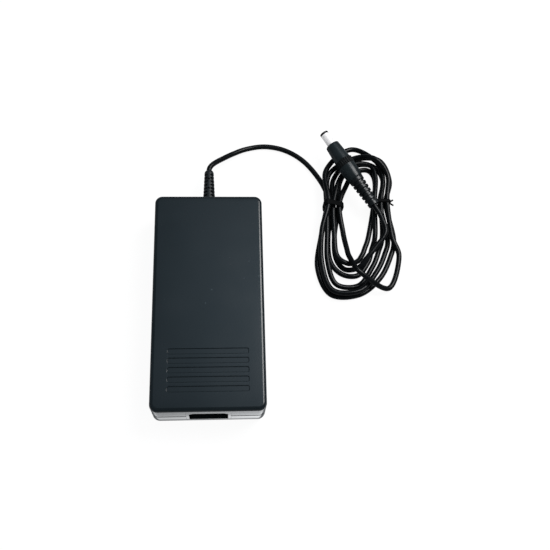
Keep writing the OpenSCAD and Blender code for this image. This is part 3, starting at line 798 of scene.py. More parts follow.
@dataclass
class Case:
    """The two covers and the feet."""

    width: float = 72 * MM
    length: float = 147 * MM
    height: float = 31 * MM
    wall: float = 2 * MM
    corner: float = 5 * MM
    rim: float = 2.5 * MM
    split: float = 15 * MM
    base: float = 0.8 * MM
    seam_depth: float = 0.6 * MM
    seam_half: float = 0.8 * MM
    seam_bevel: float = 0.1 * MM
    crease: float = 30.0
    corner_steps: int = 12
    rim_steps: int = 8
    groove_steps: int = 4
    groove_count: int = 5
    groove_length: float = 50.5 * MM
    groove_width: float = 3.3 * MM
    groove_depth: float = 0.5 * MM
    groove_pitch: float = 6 * MM
    groove_start: float = 13.8 * MM
    groove_round: float = 0.3 * MM
    groove_corner: float = 0.3
    groove_wall: tuple[Pair, ...] = ((-0.05 * MM, 0.06 * MM), (-0.15 * MM, 0.0))
    inlet_width: float = 28.2 * MM
    inlet_height: float = 20.2 * MM
    inlet_corner: float = 1.5 * MM
    relief: float = 9.0 * MM
    foot_radius: float = 4.5 * MM
    foot_top: float = 1.4 * MM
    foot_inset: float = 7.5 * MM
    foot_gap: float = 0.1 * MM
    foot_dome: tuple[Pair, ...] = ((0.7 * MM, 0.0), (0.2 * MM, 0.2 * MM), (0.0, 0.6 * MM))
    scuffs: tuple[tuple[float, ...], ...] = (
        (2.1, 5.3, 0.9, 0.5), (-1.8, -3.9, 0.7, 0.35), (32.7, 14.5, 0.8, 0.4), (26.5, 25.1, 0.6, 0.3),
        (23.1, 13.1, 0.6, 0.3),
    )
    gloss: bpy.types.Material = field(init=False)

    def outline(self, inset: float, z: float) -> list[Point]:
        """One ring round the case, at a distance inwards from its side and at a height."""
        size = (self.width - 2 * inset, self.length - 2 * inset)
        return self.round_ring(0, size, self.corner - inset, z, self.corner_steps)

    @staticmethod
    def round_ring(y: float, size: Pair, radius: float, z: float, steps: int) -> list[Point]:
        """A level rectangle with round corners, as a ring of points.

        Args:
            y: How far along the case its middle lies.
            size: Its width and length.
            radius: Radius of its corners.
            z: Its height.
            steps: Number of steps round a corner.

        Returns:
            The ring's points.
        """
        points = []
        for quarter, (side_x, side_y) in enumerate(((1, 1), (-1, 1), (-1, -1), (1, -1))):
            for step in range(steps + 1):
                angle = (quarter + step / steps) * math.pi / 2
                points.append((side_x * (size[0] / 2 - radius) + radius * math.cos(angle),
                               y + side_y * (size[1] / 2 - radius) + radius * math.sin(angle), z))
        return points

    def profile(self, joint: float, flat: float) -> list[Pair]:
        """A cover's outer profile from the joint to its flat face, as insets and heights.

        Args:
            joint: Height of the joint.
            flat: Height of the flat face.

        Returns:
            The profile.
        """
        away = 1 if flat > joint else -1
        steps = [(self.seam_depth, joint), (self.seam_depth, joint + away * self.seam_half),
                 (self.seam_bevel, joint + away * self.seam_half),
                 (0.0, joint + away * (self.seam_half + self.seam_bevel))]
        for step in range(self.rim_steps + 1):
            angle = step / self.rim_steps * math.pi / 2
            steps.append((self.rim * (1 - math.cos(angle)), flat - away * self.rim * (1 - math.sin(angle))))
        return steps

    def cover(self, name: str, joint: float, flat: float, grooves: bool) -> bpy.types.Object:
        """Builds one cover as a closed shell.

        Args:
            name: Name of the piece.
            joint: Height of its joint.
            flat: Height of its flat face.
            grooves: Whether the flat face has the grooves.

        Returns:
            The cover.
        """
        away = 1 if flat > joint else -1
        outer = [self.outline(inset, z) for inset, z in self.profile(joint, flat)]
        inner = [self.outline(self.wall, joint), self.outline(self.wall, flat - away * self.wall)]
        count = len(outer[0])
        points = [p for ring in [*outer, *inner] for p in ring]
        faces = MeshKit.loft(outer)
        first_inner = len(outer) * count
        faces += MeshKit.loft(inner, first_inner)
        faces += [(k, (k + 1) % count, first_inner + (k + 1) % count, first_inner + k) for k in range(count)]
        faces.append(tuple(range(len(points) - count, len(points))))
        if not grooves:
            faces.append(tuple(range(first_inner - count, first_inner)))
        made = MeshKit.add(name, points, faces, self.crease)
        if grooves:
            self.fill_roof(made, flat, first_inner - count, count)
        return made

    def groove_rings(self, number: int, flat: float) -> list[list[Point]]:
        """One groove as rings from its rim down to its bottom."""
        y = -self.length / 2 + self.groove_start + number * self.groove_pitch
        return [
            self.round_ring(y, (self.groove_length + 2 * out, self.groove_width + 2 * out),
                            self.groove_width * self.groove_corner + out, flat + drop, self.groove_steps)
            for out, drop in self.groove_profile()
        ]

    def groove_profile(self) -> list[Pair]:
        """A groove's profile from the roof down.

        Returns:
            How far outside its wall and how high each point lies.
        """
        bend = self.groove_round
        angles = [step / self.groove_steps * math.pi / 2 for step in range(self.groove_steps + 1)]
        arc = [(bend * (1 - math.sin(a)), -bend * (1 - math.cos(a))) for a in angles]
        return arc + [(out, up - self.groove_depth) for out, up in self.groove_wall]

    def fill_roof(self, cover: bpy.types.Object, flat: float, first: int, count: int) -> None:
        """Fills the roof round the grooves, and adds their sides and bottoms.

        Args:
            cover: The cover, open at the roof.
            flat: Height of the roof.
            first: Number of the first vertex round the roof.
            count: Number of vertices round it.
        """
        work = bmesh.new()
        work.from_mesh(cover.data)
        work.verts.ensure_lookup_table()
        rim = [work.verts[first + k] for k in range(count)]
        edges = [work.edges.get((rim[k], rim[(k + 1) % count])) for k in range(count)]
        for number in range(self.groove_count):
            rings = [[work.verts.new(p) for p in ring] for ring in self.groove_rings(number, flat)]
            size = len(rings[0])
            for upper, lower in zip(rings, rings[1:]):
                for k in range(size):
                    work.faces.new((upper[k], lower[k], lower[(k + 1) % size], upper[(k + 1) % size]))
            work.faces.new(rings[-1])
            edges += [work.edges.get((rings[0][k], rings[0][(k + 1) % size])) for k in range(size)]
        bmesh.ops.triangle_fill(work, edges=edges, use_beauty=True, use_dissolve=False, normal=(0, 0, 1))
        bmesh.ops.recalc_face_normals(work, faces=work.faces)
        work.to_mesh(cover.data)
        work.free()

    def end_cutters(self) -> list[bpy.types.Object]:
        """Makes the solids that cut the openings at both ends.

        Returns:
            One for the mains socket and one for the strain relief.
        """
        depth = 3 * self.wall
        ring = self.round_ring(0, (self.inlet_width, self.inlet_height), self.inlet_corner, 0, 6)
        front = -self.length / 2 - self.wall
        inlet = MeshKit.solid("inlet cutter", [
            [(x, y, self.split + z) for x, z, _ in ring] for y in (front, front + depth)])
        back, radius = self.length / 2 - 2 * self.wall, self.relief / 2
        relief = MeshKit.solid("relief cutter", [
            [(radius * math.cos(a), y, self.split + radius * math.sin(a)) for a in MeshKit.turns(48)]
            for y in (back, back + depth)])
        return [inlet, relief]

    def at_feet(self, name: str, profile: Sequence[Pair]) -> list[bpy.types.Object]:
        """Makes one round solid at each foot, from its radii and heights."""
        x, y = self.width / 2 - self.foot_inset, self.length / 2 - self.foot_inset
        return [MeshKit.upright(name, (i * x, k * y), profile) for i in (-1, 1) for k in (-1, 1)]

    def foot_cutters(self) -> list[bpy.types.Object]:
        """Solids that cut the shallow seats of the feet."""
        reach = self.foot_radius + self.foot_gap
        return self.at_feet("seat cutter", [(reach, self.base - self.wall), (reach, self.foot_top)])

    def feet(self) -> bpy.types.Object:
        """Makes the four feet, domed at their edges, as one piece."""
        dome = [(self.foot_radius - inset, z) for inset, z in self.foot_dome]
        return MeshKit.join("feet", self.at_feet("foot", [*dome, (self.foot_radius, self.foot_top)]))

    def build(self) -> None:
        """Builds and fits the covers and the feet."""
        scuffs = tuple(Scuff((x * MM, y * MM, self.height), size * MM, strength)
                       for x, y, size, strength in self.scuffs)
        plastic = MouldedPlastic("case plastic", (0.006, 0.0098, 0.012), (0.008, 0.0127, 0.0157), 0.2,
                                 scuffs=scuffs).make()
        self.gloss = MouldedPlastic(
            "lower case plastic", (0.004, 0.006, 0.007), (0.006, 0.0085, 0.0095), 0.12).make()
        top = self.cover("top_shell", self.split, self.height, True)
        bottom = self.cover("bottom_shell", self.split, self.base, False)
        MeshKit.cut(top, self.end_cutters())
        MeshKit.cut(bottom, [*self.end_cutters(), *self.foot_cutters()])
        for piece in (top, bottom):
            MeshKit.tidy(piece, self.crease)
            MeshKit.level(piece)
        Fitter.fit(top, plastic, Slot.CASE, ["top_cover"])
        Fitter.fit(bottom, self.gloss, Slot.CASE, ["bottom_cover"])
        rubber = Rubber("foot rubber", (0.012, 0.012, 0.013)).make()
        Fitter.fit(self.feet(), rubber, Slot.FOOT, ["rubber_feet"])
        Fitter.dress("case_screws", PlatedMetal("zinc screws", (0.62, 0.63, 0.65), 0.35).make())


# ------------------------------------------------------------
# Mains socket and electronics


@dataclass
class MainsSocket:
    """The socket's housing and its three pins."""

    gloss: bpy.types.Material
    pin_edge: float = 0.45 * MM
    housing_edge: float = 0.35 * MM

    def build(self) -> None:
        """Builds and fits the housing and the pins."""
        housing = MeshKit.softened_copy("socket_housing", "inlet_housing", self.housing_edge)
        Fitter.fit(housing, self.gloss, Slot.INLET, ["inlet_housing"])
        nickel = PlatedMetal("nickel pins", (0.72, 0.7, 0.65), 0.22).make()
        for pole in ("line", "neutral", "earth"):
            pin = MeshKit.softened_copy(f"{pole}_blade", f"{pole}_pin", self.pin_edge)
            Fitter.fit(pin, nickel, Slot.PIN, [f"{pole}_pin"])


@dataclass
class Electronics:
    """Everything on and round the circuit board."""

    def build(self) -> None:
        """Finishes the nodes inside the case."""
        chip = Speckled("chip epoxy", (0.008, 0.008, 0.009), (0.02, 0.02, 0.021), 0.55)
        ferrite = Speckled("ferrite", (0.012, 0.012, 0.014), (0.035, 0.035, 0.04), 0.6)
        film = (0.25, 3 * MM, 0.01 * MM, 0.4)
        blue = Speckled("capacitor sleeve", (0.012, 0.02, 0.07), (0.02, 0.03, 0.09), *film)
        green = Speckled("output capacitor sleeve", (0.01, 0.06, 0.04), (0.015, 0.08, 0.055), *film)
        aluminium = PlatedMetal("rolled aluminium", (0.78, 0.79, 0.8), 0.38, (3 * MM, 0.3 * MM, 0.3 * MM))
        choke = WoundWire("choke wire", (0.55, 0.2, 0.06), (0.15, 0.04, 0.01), 0.9 * MM, Axis.Y)
        output_choke = WoundWire("output choke wire", (0.45, 0.17, 0.06), (0.1, 0.03, 0.01), 1.1 * MM, Axis.Z)
        tape = WoundWire("winding tape", (0.75, 0.5, 0.03), (0.5, 0.3, 0.02), 4 * MM, Axis.Z)
        ceramic = Speckled("dipped ceramic", (0.03, 0.12, 0.4), (0.05, 0.16, 0.48), 0.2, 2 * MM)
        finishes = {
            "insulating_sheet": Speckled("insulating film", (0.72, 0.66, 0.5), (0.78, 0.72, 0.56), 0.3),
            "circuit_board": BoardLacquer("board lacquer"),
            "fuse": ClearGlass("fuse glass"),
            "noise_capacitor": Speckled("yellow capacitor case", (0.6, 0.42, 0.05), (0.68, 0.5, 0.08), 0.4),
            "choke_windings": choke,
            "reservoir_capacitor": blue,
            "transformer_bobbin": Speckled("bobbin plastic", (0.015, 0.015, 0.016), (0.03, 0.03, 0.03), 0.45),
            "transformer_winding": tape,
            "safety_capacitor": ceramic,
            "optocoupler": Speckled("white epoxy", (0.7, 0.7, 0.66), (0.78, 0.78, 0.75), 0.5),
            "output_capacitors": green,
            "output_choke": output_choke,
            "output_leads": SoftVinyl("lead insulation", (0.4, 0.02, 0.02), 0.4),
        }
        finishes |= dict.fromkeys(
            ("bridge_rectifier", "switch_transistor", "control_chip", "output_diodes"), chip)
        finishes |= dict.fromkeys(("choke_core", "transformer_core"), ferrite)
        finishes |= dict.fromkeys(("primary_heat_sink", "secondary_heat_sink", "heat_spreader"), aluminium)
        made: dict[str, bpy.types.Material] = {}
        for node, finish in finishes.items():
            if finish.name not in made:
                made[finish.name] = finish.make()
            Fitter.dress(node, made[finish.name])


# ------------------------------------------------------------
# Output cord


class Curves:
    """Smooth curves through points."""

    @staticmethod
    def smooth(points: Sequence[Vector], steps: int, lowest: float) -> list[Vector]:
        """A uniform Catmull-Rom curve through points.

        Args:
            points: The points.
            steps: Number of stretches between one point and the next.
            lowest: The least height that a point may have.

        Returns:
            The curve's points.
        """
        made = []
        for i in range(len(points) - 1):
            b, c = points[i], points[i + 1]
            a = points[i - 1] if i else 2 * b - c
            d = points[i + 2] if i + 2 < len(points) else 2 * c - b
            for t in (k / steps for k in range(steps)):
                p = (2 * b + (c - a) * t + (2 * a - 5 * b + 4 * c - d) * t ** 2
                     + (3 * b - a - 3 * c + d) * t ** 3) / 2
                made.append(Vector((p.x, p.y, max(p.z, lowest))))
        made.append(points[-1].copy())
        return made

    @staticmethod
    def length(points: Sequence[Vector]) -> float:
        """Length of a line through points."""
        return sum((b - a).length for a, b in zip(points, points[1:]))

    @staticmethod
    def sweep(path: Sequence[Vector], sides: int, radius: Callable[[int, float], float]
              ) -> list[list[Point]]:
        """Rings of a tube along a path, without twist.

        Args:
            path: Points of the tube's middle line.
            sides: Number of points in a ring.
            radius: Gives the radius for a ring's number and an angle.

        Returns:
            The rings.
        """
        rings = []
        across = None
        for i, middle in enumerate(path):
            ahead = path[min(i + 1, len(path) - 1)] - path[max(i - 1, 0)]
            ahead.normalize()
            if across is None:
                across = Vector(Axis.Z.value).cross(ahead)
            across = (across - ahead * across.dot(ahead)).normalized()
            up = ahead.cross(across)
            rings.append([
                tuple(middle + radius(i, a) * (math.cos(a) * across + math.sin(a) * up))
                for a in MeshKit.turns(sides)])
        return rings


@dataclass(frozen=True)
class Tie:
    """A band that holds the hank together, in millimetres."""

    spoke: int
    corners: tuple[Pair, ...]
    middle: float
    width: float


@dataclass
class OutputCord:
    """The strain relief, the cord with its hank, and the two ties.

    The hank's loops cross spokes that stand round it, each with a place and a heading inwards. A loop
    crosses a spoke at a lane, which says how far inwards, and at a level, which says how far up. The
    route, the spokes and the sizes without MM are in millimetres.
    """

    diameter: float = 3.7 * MM
    relief_start: float = 73.5 * MM
    relief_length: float = 27.5 * MM
    relief_width: float = 8.8 * MM
    relief_tip: float = 6.4 * MM
    relief_notches: int = 8
    relief_notch: float = 1.3 * MM
    relief_pits: tuple[float, ...] = (12.5 * MM, 20 * MM)
    relief_pit: float = 0.7 * MM
    relief_height: float = 15 * MM
    relief_rows: int = 170
    relief_bend: float = 2.2 * MM
    relief_edge: float = 0.3 * MM
    relief_dome: float = 1.08 * MM
    relief_notch_edge: float = 4.0
    relief_spine: float = 0.3
    relief_spine_edge: float = 5.0
    relief_flange: float = 13 * MM
    relief_flange_depth: float = 2 * MM
    wall: float = 2 * MM
    wall_gap: float = 0.1 * MM
    lane: float = 4.5
    level: float = 4.5
    rest: float = 2.0
    plug_end: Point = (117.0, 75.5, 12.8)
    plug_turn: float = 121.0
    plug_pitch: float = 4.5
    sides: int = 20
    steps: int = 20
    free_steps: int = 6
    crease: float = 60.0
    band_crease: float = 50.0
    route: tuple[Point, ...] = (
        (0, 101, 15), (0, 102.5, 15), (0.6, 104.3, 14.9), (2.3, 106.9, 14.3), (5.1, 110.1, 12.6),
        (9, 113.8, 10.3), (13.6, 118, 7.6), (18.7, 122, 5.2), (24.7, 125.7, 3.3), (31.4, 128.2, 2.2),
        (38.5, 129.4, 2), (46, 129, 2), (54, 127, 2), (62, 123, 2), (69.5, 117, 2), (76, 109, 2),
        (81.5, 99.5, 2.5), (84.5, 92, 3), (84.5, 88, 3),
    )
    spokes: tuple[Point, ...] = (
        (84.5, 78.5, 0), (79.5, 57, 0), (75.5, 32, 30), (83.5, 12, 60), (103.5, 11.5, 90),
        (119, 23.5, 122), (129, 39.5, 160), (131, 54, 172), (128, 81, 180), (132.5, 101, 180),
        (125.5, 118.5, 225), (105, 117.5, 275), (91.5, 101, 335),
    )
    lanes: tuple[tuple[float, ...], ...] = (
        (0, 0, 0, 0, 0, 0, 0.25, -0.1, 0, 0, 0, 0, -0.2),
        (0.97, 1.1, 2.35, 3.85, 3.2, 3.16, 3.4, 3, 2.05, 2.5, 2.3, 1.3, 0.8),
        (0.95, 1.9, 3.4, 5.4, 5.4, 4.7, 4.5, 3.9, 2, 2.45, 2.8, 2.32, 2.15),
        (1.9, 3.3, 5.2, 6.1, 2.7, -2.15, -1, 0.4, 0, 0.6, 1.6, 0.3, -1.1),
        (0, 0.8, 1.75, 1.85, 1.5, 2.09, 2.3, 1.87, 1, 1.3, 1.2, -1.8, -1.75),
        (0.05, -0.1, 0.7, 0.4, 0.3, 1.05, 1.25, 0.88, 0.97, 1.1, 1.6, 1.12, 0.95),
        (1.92, 2.1, 3.4, 4.8, 4.15, 3.6, 3, 1.6),
    )
    levels: tuple[tuple[float, ...], ...] = (
        (0.2, 0, 0, 0, 0, 0, 0, 0, 0.2, 0, 0, 0, 0),
        (0.2, 0, 0, 0, 0, 0, 0, 0.7, 1.2, 1, 1, 1, 1),
        (1.2, 1.1, 1.1, 1.14, 0.35, 0, 0, 0, 0.2, 0, 0, 0, 0.55),
        (1.2, 1.1, 1.6, 2, 2.6, 0.5, 0.7, 1.1, 1.2, 1.65, 2.4, 1.2, 1.1),
        (1.2, 1.1, 0.8, 0.2, 0, 0.2, 0.2, 0.9, 1.2, 0.95, 1.3, 0.6, 1.9),
        (2.2, 1.75, 0.9, 1, 1.1, 0.4, 0.2, 0, 0.2, 0, 0, 0, 0),
        (0.2, 0, 0, 0, 0.8, 1.5, 1.8, 2.2),
    )
    tie_gap: float = 0.3
    tie_thickness: float = 0.5
    tie_bend: float = 0.3
    wide_tie: Tie = Tie(0, ((-0.1, 0.2), (2, 0.2), (2, 1.2), (-0.1, 2.2)), 78.0, 3.6)
    twist_tie: Tie = Tie(8, ((0, 0.2), (2.05, 0.2), (2.05, 1.2), (0, 1.2)), 81.0, 2.4)
    knot_level: float = 0.8
    stub_radius: float = 0.7
    stub_length: float = 3.0
    stub_splay: float = 35.0
    stub_rows: int = 18
    stub_apart: float = 0.56
    stub_turns: float = 1.5
    stub_blunt: float = 0.72
    stub_waist: float = 0.18
    cord: bpy.types.Object = field(init=False)
    centreline: list[Vector] = field(init=False)

    @property
    def plug_axis(self) -> Vector:
        """The way the plug points."""
        turn, pitch = math.radians(self.plug_turn), math.radians(self.plug_pitch)
        return Vector((math.cos(pitch) * math.cos(turn), math.cos(pitch) * math.sin(turn), math.sin(pitch)))

    def crossing(self, spoke: int, lane: float, level: float) -> Vector:
        """Where a loop crosses a spoke, in millimetres.

        Args:
            spoke: Number of the spoke.
            lane: How many cords inwards from the spoke's start.
            level: How many cords up.

        Returns:
            The point.
        """
        x, y, heading = self.spokes[spoke]
        angle, inwards = math.radians(heading), lane * self.lane
        return Vector((x + inwards * math.cos(angle), y + inwards * math.sin(angle),
                       self.rest + level * self.level))

    def path(self) -> list[Vector]:
        """Lays the cord from the strain relief through the hank to the plug.

        Returns:
            Its middle line, in metres.
        """
        free = Curves.smooth([Vector(p) for p in self.route[1:-1]], self.free_steps, self.rest)
        width = self.diameter / MM
        start, end = Vector(self.route[-1]), Vector(self.plug_end)
        bends = [start - Vector((0, width, 0))]
        for lanes, levels in zip(self.lanes, self.levels):
            bends += [self.crossing(k, lane, level) for k, (lane, level) in enumerate(zip(lanes, levels))]
        bends.append(end - 2 * width * self.plug_axis)
        hank = Curves.smooth(bends, self.steps, self.rest)
        whole = [Vector(self.route[0]), *free, start, *hank, end]
        return [p * MM for p in whole]

    def make_cord(self) -> None:
        """Makes the cord from the strain relief to the plug as one tube."""
        vinyl = SoftVinyl("cord vinyl", (0.0018, 0.0024, 0.0028), 0.27, 0.22).make()
        self.centreline = self.path()
        rings = Curves.sweep(self.centreline, self.sides, lambda row, angle: self.diameter / 2)
        self.cord = MeshKit.solid("output_cord", rings, self.crease)
        Fitter.fit(self.cord, vinyl, Slot.CORD, ["power_cord", "cord_hank"])

    def declare(self) -> None:
        tuple(self.centreline[0])
        round(Curves.length(self.centreline), 3)
        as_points(self.centreline)

    def relief(self) -> bpy.types.Object:
        """Makes the strain relief: a tapered sleeve, notched on both sides of a smooth spine.

        Behind the case's wall it ends in a round flange.

        Returns:
            The piece.
        """
        step = self.relief_length / (self.relief_notches + 2)
        rim, edge = self.relief_flange / 2, self.relief_edge
        inner = -self.wall - self.wall_gap
        outer = inner - self.relief_flange_depth
        stations = [(outer, rim - edge, 0.0), (outer + edge, rim, 0.0), (inner - edge, rim, 0.0),
                    (inner, rim - edge, 0.0), (inner, self.relief_width / 2, 0.0)]
        for row in range(self.relief_rows + 1):
            share = row / self.relief_rows
            along = share * self.relief_length
            radius = (self.relief_width + (self.relief_tip - self.relief_width) * share) / 2
            place = along / step - 1.5
            wave = math.cos(math.tau * place) if -0.5 < place < self.relief_notches - 0.5 else -1
            over = max(0.0, along - self.relief_length + self.relief_bend) / self.relief_bend
            dome = self.relief_dome * (1 - math.sqrt(max(0.0, 1 - over ** 2)))
            stations.append((along, radius - dome, clamp((wave + 0.05) * self.relief_notch_edge)))
        rings = []
        for along, radius, cut in stations:
            ring = []
            for angle in MeshKit.turns(48):
                side = clamp((abs(math.cos(angle)) - self.relief_spine) * self.relief_spine_edge)
                reach = radius - self.relief_notch * cut * side
                ring.append((reach * math.cos(angle), self.relief_start + along,
                             self.relief_height + reach * math.sin(angle)))
            rings.append(ring)
        made = MeshKit.solid("strain_relief", rings, self.band_crease)
        pit = [(self.relief_pit, self.relief_height + up * self.relief_tip) for up in (0.3, 2)]
        MeshKit.cut(made, [MeshKit.upright("pit cutter", (0, self.relief_start + along), pit, 24)
                           for along in self.relief_pits])
        MeshKit.tidy(made, self.band_crease)
        return made

    def band(self, name: str, tie: Tie) -> bpy.types.Object:
        """Makes a band round the strands that a tie holds.

        Args:
            name: Name of the piece.
            tie: The tie.

        Returns:
            The band.
        """
        places = [self.crossing(tie.spoke, lane, level) for lane, level in tie.corners]
        loop = self.wrap([(p.x, p.z) for p in places], self.diameter / MM / 2 + self.tie_gap)
        half, bend = tie.width / 2, self.tie_bend
        shape = [(0.0, -half), (0.0, half), (0.7, half), (1.0, half - bend), (1.0, bend - half), (0.7, -half)]
        rings = []
        for out, along in shape:
            reach = out * self.tie_thickness
            rings.append([((x + nx * reach) * MM, (tie.middle + along) * MM, (z + nz * reach) * MM)
                          for (x, z), (nx, nz) in loop])
        return MeshKit.tube(name, rings, self.band_crease)

    @staticmethod
    def wrap(places: Sequence[Pair], radius: float, steps: int = 96) -> list[tuple[Pair, Pair]]:
        """A taut loop round circles, as points and their outward directions.

        Args:
            places: Middles of the circles.
            radius: Their radius.
            steps: Number of directions that are tried.

        Returns:
            The points and directions.
        """
        loop = []
        for angle in MeshKit.turns(steps):
            ahead = (math.cos(angle), math.sin(angle))
            x, z = max(places, key=lambda p: p[0] * ahead[0] + p[1] * ahead[1])
            loop.append(((x + radius * ahead[0], z + radius * ahead[1]), ahead))
        return loop

    def stub(self, side: int) -> bpy.types.Object:
        """Makes one twisted end of the twist tie.

        Args:
            side: Which way it splays along the case, -1 or 1.

        Returns:
            The end.
        """
        knot = self.crossing(self.twist_tie.spoke, 0, self.knot_level)
        start = Vector((knot.x + self.diameter / MM / 2 + self.tie_gap + self.tie_thickness / 2,
                        self.twist_tie.middle + side * self.stub_apart, knot.z))
        splay = math.radians(self.stub_splay)
        ahead = Vector((math.cos(splay), side * math.sin(splay), 0))
        rows = self.stub_rows
        path = [(start + ahead * self.stub_length * row / rows) * MM for row in range(rows + 1)]

        def reach(row: int, angle: float) -> float:
            """Radius of the two twisted wires, which are blunt at their ends."""
            turn = math.tau * row / rows * self.stub_turns
            blunt = self.stub_blunt if row in (0, rows) else 1.0
            return self.stub_radius * MM * blunt * (1 + self.stub_waist * (math.cos(2 * (angle - turn)) - 1))

        return MeshKit.solid("stub", Curves.sweep(path, 16, reach), self.crease)

    def build(self) -> list[bpy.types.Object]:
        """Builds the strain relief and the ties.

        Returns:
            The pieces that go with the cord.
        """
        vinyl = SoftVinyl("relief vinyl", (0.006, 0.0085, 0.01), 0.35, 0.5).make()
        relief = Fitter.fit(self.relief(), vinyl, Slot.CORD, ["cord_relief"])
        plastic = Rubber("tie plastic", (0.001, 0.0012, 0.0014), 0.6, 0.06).make()
        wide = self.band("wide_band", self.wide_tie)
        loop = self.band("twist_loop", self.twist_tie)
        twist = MeshKit.join("twist_band", [loop, self.stub(-1), self.stub(1)])
        Fitter.fit(wide, plastic, Slot.TIE, ["wide_tie"])
        Fitter.fit(twist, plastic, Slot.TIE, ["twist_tie"])
        return [relief, wide, twist]


# ------------------------------------------------------------
# Plug


@dataclass
class Plug:
    """The barrel plug at the cord's end. Its own frame has +X from the cord to the tip."""

    cord: OutputCord
    tail_length: float = 23 * MM
    tail_width: float = 10.8 * MM
    tail_tip: float = 7.8 * MM
    tail_rows: int = 150
    ribs: int = 6
    rib_depth: float = 0.9 * MM
    rib_gap: float = 0.42
    rib_edge: float = 0.08
    taper_length: float = 12 * MM
    taper_width: float = 12.8 * MM
    taper_knee: float = 0.8
    taper_edge: float = 0.3 * MM
    collar_width: float = 13.5 * MM
    collar_length: float = 5 * MM
    collar_notches: int = 24
    collar_notch: float = 0.4 * MM
    collar_edge: float = 0.25 * MM
    grip_length: float = 14.5 * MM
    grip_back: float = 12.2 * MM
    grip_width: float = 10.2 * MM
    grip_round: float = 0.9 * MM
    barrel_width: float = 6.3 * MM
    barrel_wall: float = 0.4 * MM
    barrel_length: float = 9.4 * MM
    tip_length: float = 1.6 * MM
    bore: float = 3 * MM
    sleeve_wall: float = 0.3 * MM
    sleeve_start: float = 1 * MM
    edge: float = 0.12 * MM
    sides: int = 96

    @property
    def placement(self) -> Matrix:
        """Where the plug lies.

        Returns:
            The matrix from the plug's own frame to the part's.
        """
        ahead = self.cord.plug_axis
        side = Vector(Axis.Z.value).cross(ahead).normalized()
        turn = Matrix((ahead, side, ahead.cross(side))).transposed().to_4x4()
        return Matrix.Translation(Vector(self.cord.plug_end) * MM) @ turn

    def ring(self, along: float, radius: float, notch: float = 0.0) -> list[Point]:
        """One ring round the plug's axis.

        Args:
            along: Distance of the ring from the cord's end.
            radius: Its radius.
            notch: Depth of the collar's notches in it.

        Returns:
            The ring's points.
        """
        points = []
        per_notch = self.sides // self.collar_notches
        for k, a in enumerate(MeshKit.turns(self.sides)):
            reach = radius - (notch if k % per_notch == 0 else 0.0)
            points.append(tuple(self.placement @ Vector((along, reach * math.cos(a), reach * math.sin(a)))))
        return points

    def turned(self, name: str, profile: Sequence[Pair], crease: float = 40.0, hollow: bool = False
               ) -> bpy.types.Object:
        """Makes a solid turned round the plug's axis.

        Args:
            name: Name of the piece.
            profile: Distances along the axis and radii.
            crease: Edges sharper than this angle, in degrees, stay sharp.
            hollow: Whether the profile is closed, round a hole along the axis.

        Returns:
            The piece.
        """
        make = MeshKit.tube if hollow else MeshKit.solid
        return make(name, [self.ring(x, r) for x, r in profile], crease)

    def tail(self) -> bpy.types.Object:
        """Makes the ribbed tail, with soft grooves between its ribs.

        Returns:
            The piece.
        """
        profile = []
        for row in range(self.tail_rows + 1):
            x = row / self.tail_rows * self.tail_length
            radius = (self.tail_tip + (self.tail_width - self.tail_tip) * x / self.tail_length) / 2
            place = x / self.tail_length * (self.ribs + 1)
            away = abs(place - round(place)) if 0.5 < place < self.ribs + 0.5 else 1
            cut = clamp((self.rib_gap / 2 + 0.06 - away) / self.rib_edge)
            profile.append((x, radius - self.rib_depth * cut))
        return self.turned("ribbed_tail", profile, 60.0)

    def taper(self) -> bpy.types.Object:
        """Makes the tapered part and its collar, with small notches round the collar.

        Returns:
            The piece.
        """
        start, end = self.tail_length, self.tail_length + self.taper_length
        front, radius = end + self.collar_length, self.collar_width / 2
        back, bend = self.taper_edge, self.collar_edge
        profile = [(start, self.tail_width / 2 - back), (start + back, self.tail_width / 2)]
        for share in (step / 8 for step in range(1, 9)):
            bulge = math.sin(share * math.pi / 2)
            profile.append((start + share * self.taper_length * self.taper_knee,
                            (self.tail_width + (self.taper_width - self.tail_width) * bulge) / 2))
        profile.append((end, self.taper_width / 2))
        collar = [(end, radius - bend), (end + bend, radius), (front - bend, radius), (front, radius - bend)]
        rings = [self.ring(x, r) for x, r in profile]
        rings += [self.ring(x, r, self.collar_notch) for x, r in collar]
        return MeshKit.solid("tapered_body", rings, 40.0)

    def mark_collar(self, taper: bpy.types.Object, finish: bpy.types.Material) -> None:
        """Gives the collar's faces a darker finish of their own: painted shade on the same black plastic as
        the grip.

        Args:
            taper: The tapered part with its collar.
            finish: The collar's finish, darker than the grip's as painted shade.
        """
        taper.data.materials.append(finish)
        away = self.placement.inverted()
        for face in taper.data.polygons:
            if (away @ face.center).x > self.tail_length + self.taper_length - 0.05 * MM:
                face.material_index = 1

    def grip(self) -> bpy.types.Object:
        """Makes the front grip, rounded at its front.

        Returns:
            The piece.
        """
        start = self.tail_length + self.taper_length + self.collar_length
        end, bend = start + self.grip_length, self.grip_round
        profile = [(start, self.grip_back / 2)]
        for a in (step / 6 * math.pi / 2 for step in range(7)):
            profile.append((end - bend + bend * math.sin(a), self.grip_width / 2 - bend * (1 - math.cos(a))))
        return self.turned("front_grip", profile)

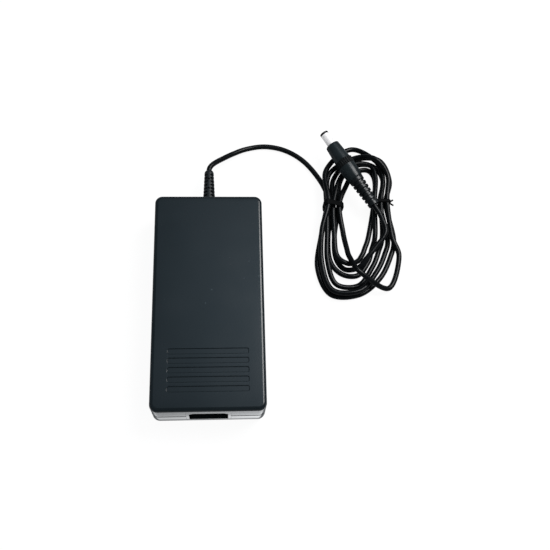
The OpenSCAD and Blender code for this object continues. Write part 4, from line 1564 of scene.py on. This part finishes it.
    def build(self) -> list[bpy.types.Object]:
        """Builds and fits the plug.

        Returns:
            Its pieces.
        """
        start = self.tail_length + self.taper_length + self.collar_length + self.grip_length
        end = start + self.barrel_length
        front, back = end + self.tip_length, start + self.sleeve_start
        outer, bore, edge = self.barrel_width / 2, self.bore / 2, self.edge
        inner, hole = outer - self.barrel_wall, bore + self.sleeve_wall
        satin = SoftVinyl("plug vinyl", (0.0055, 0.009, 0.0105), 0.3, 0.4).make()
        shiny = SoftVinyl("tail vinyl", (0.003, 0.0045, 0.0055), 0.34, 0.5).make()
        # painted shade: the collar is the grip's black plastic, coloured darker as well as matt
        matt = Rubber("collar vinyl painted dark as shade", (0.002, 0.003, 0.0035), 0.6, 0.2).make()
        # painted reflection: the barrel's near-white colour, with little metal in it, stands in for the
        # bright surroundings that the nickel mirrors
        nickel = PlatedMetal("nickel painted white as its reflection", (0.98, 0.965, 0.96), 0.35, tarnish=(0.9, 0.85, 0.84),
                             metallic=0.12).make()
        brass = PlatedMetal("contact brass", (0.75, 0.65, 0.4), 0.25).make()
        ring = MouldedPlastic("tip plastic", (0.004, 0.004, 0.004), (0.006, 0.006, 0.006), 0.4).make()
        barrel = self.turned("barrel", [
            (start, outer), (end - edge, outer), (end, outer - edge), (end, inner), (start, inner)
        ], hollow=True)
        core = self.turned("tip_insulator", [
            (start, inner), (end, inner), (end, outer - edge), (end + edge, outer), (front - 2 * edge, outer),
            (front, outer - 2 * edge), (front, hole), (start, hole)], hollow=True)
        sleeve = self.turned("centre_contact", [
            (back, hole), (end - edge, hole), (end, hole - edge), (end, bore), (back, bore)], hollow=True)
        tail, taper = self.tail(), self.taper()
        plan = [
            (tail, shiny, Slot.CORD, "plug_tail"), (taper, satin, Slot.CORD, "plug_taper"),
            (self.grip(), satin, Slot.CORD, "plug_grip"), (barrel, nickel, Slot.BARREL, "plug_barrel"),
            (core, ring, Slot.CHIP, "plug_insulator"), (sleeve, brass, Slot.SLEEVE, "plug_sleeve"),
        ]
        pieces = [Fitter.fit(piece, finish, slot, [node]) for piece, finish, slot, node in plan]
        self.mark_collar(taper, matt)
        return pieces


# ------------------------------------------------------------


def main() -> None:
    """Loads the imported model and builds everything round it."""
    logging.basicConfig(level=logging.INFO, format="%(name)s: %(message)s")
    Fitter.load()
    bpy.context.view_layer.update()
    bpy.context.scene.view_settings.view_transform = "Standard"
    studio = Studio()
    studio.camera()
    cord = OutputCord()
    cord.make_cord()
    cord_pieces = cord.build()
    plug_pieces = Plug(cord).build()
    cord.declare()
    case = Case()
    case.build()
    MainsSocket(case.gloss).build()
    Electronics().build()
    studio.floor()
    studio.sky_dome()
    studio.lamp()


if __name__ == "__main__":
    main()
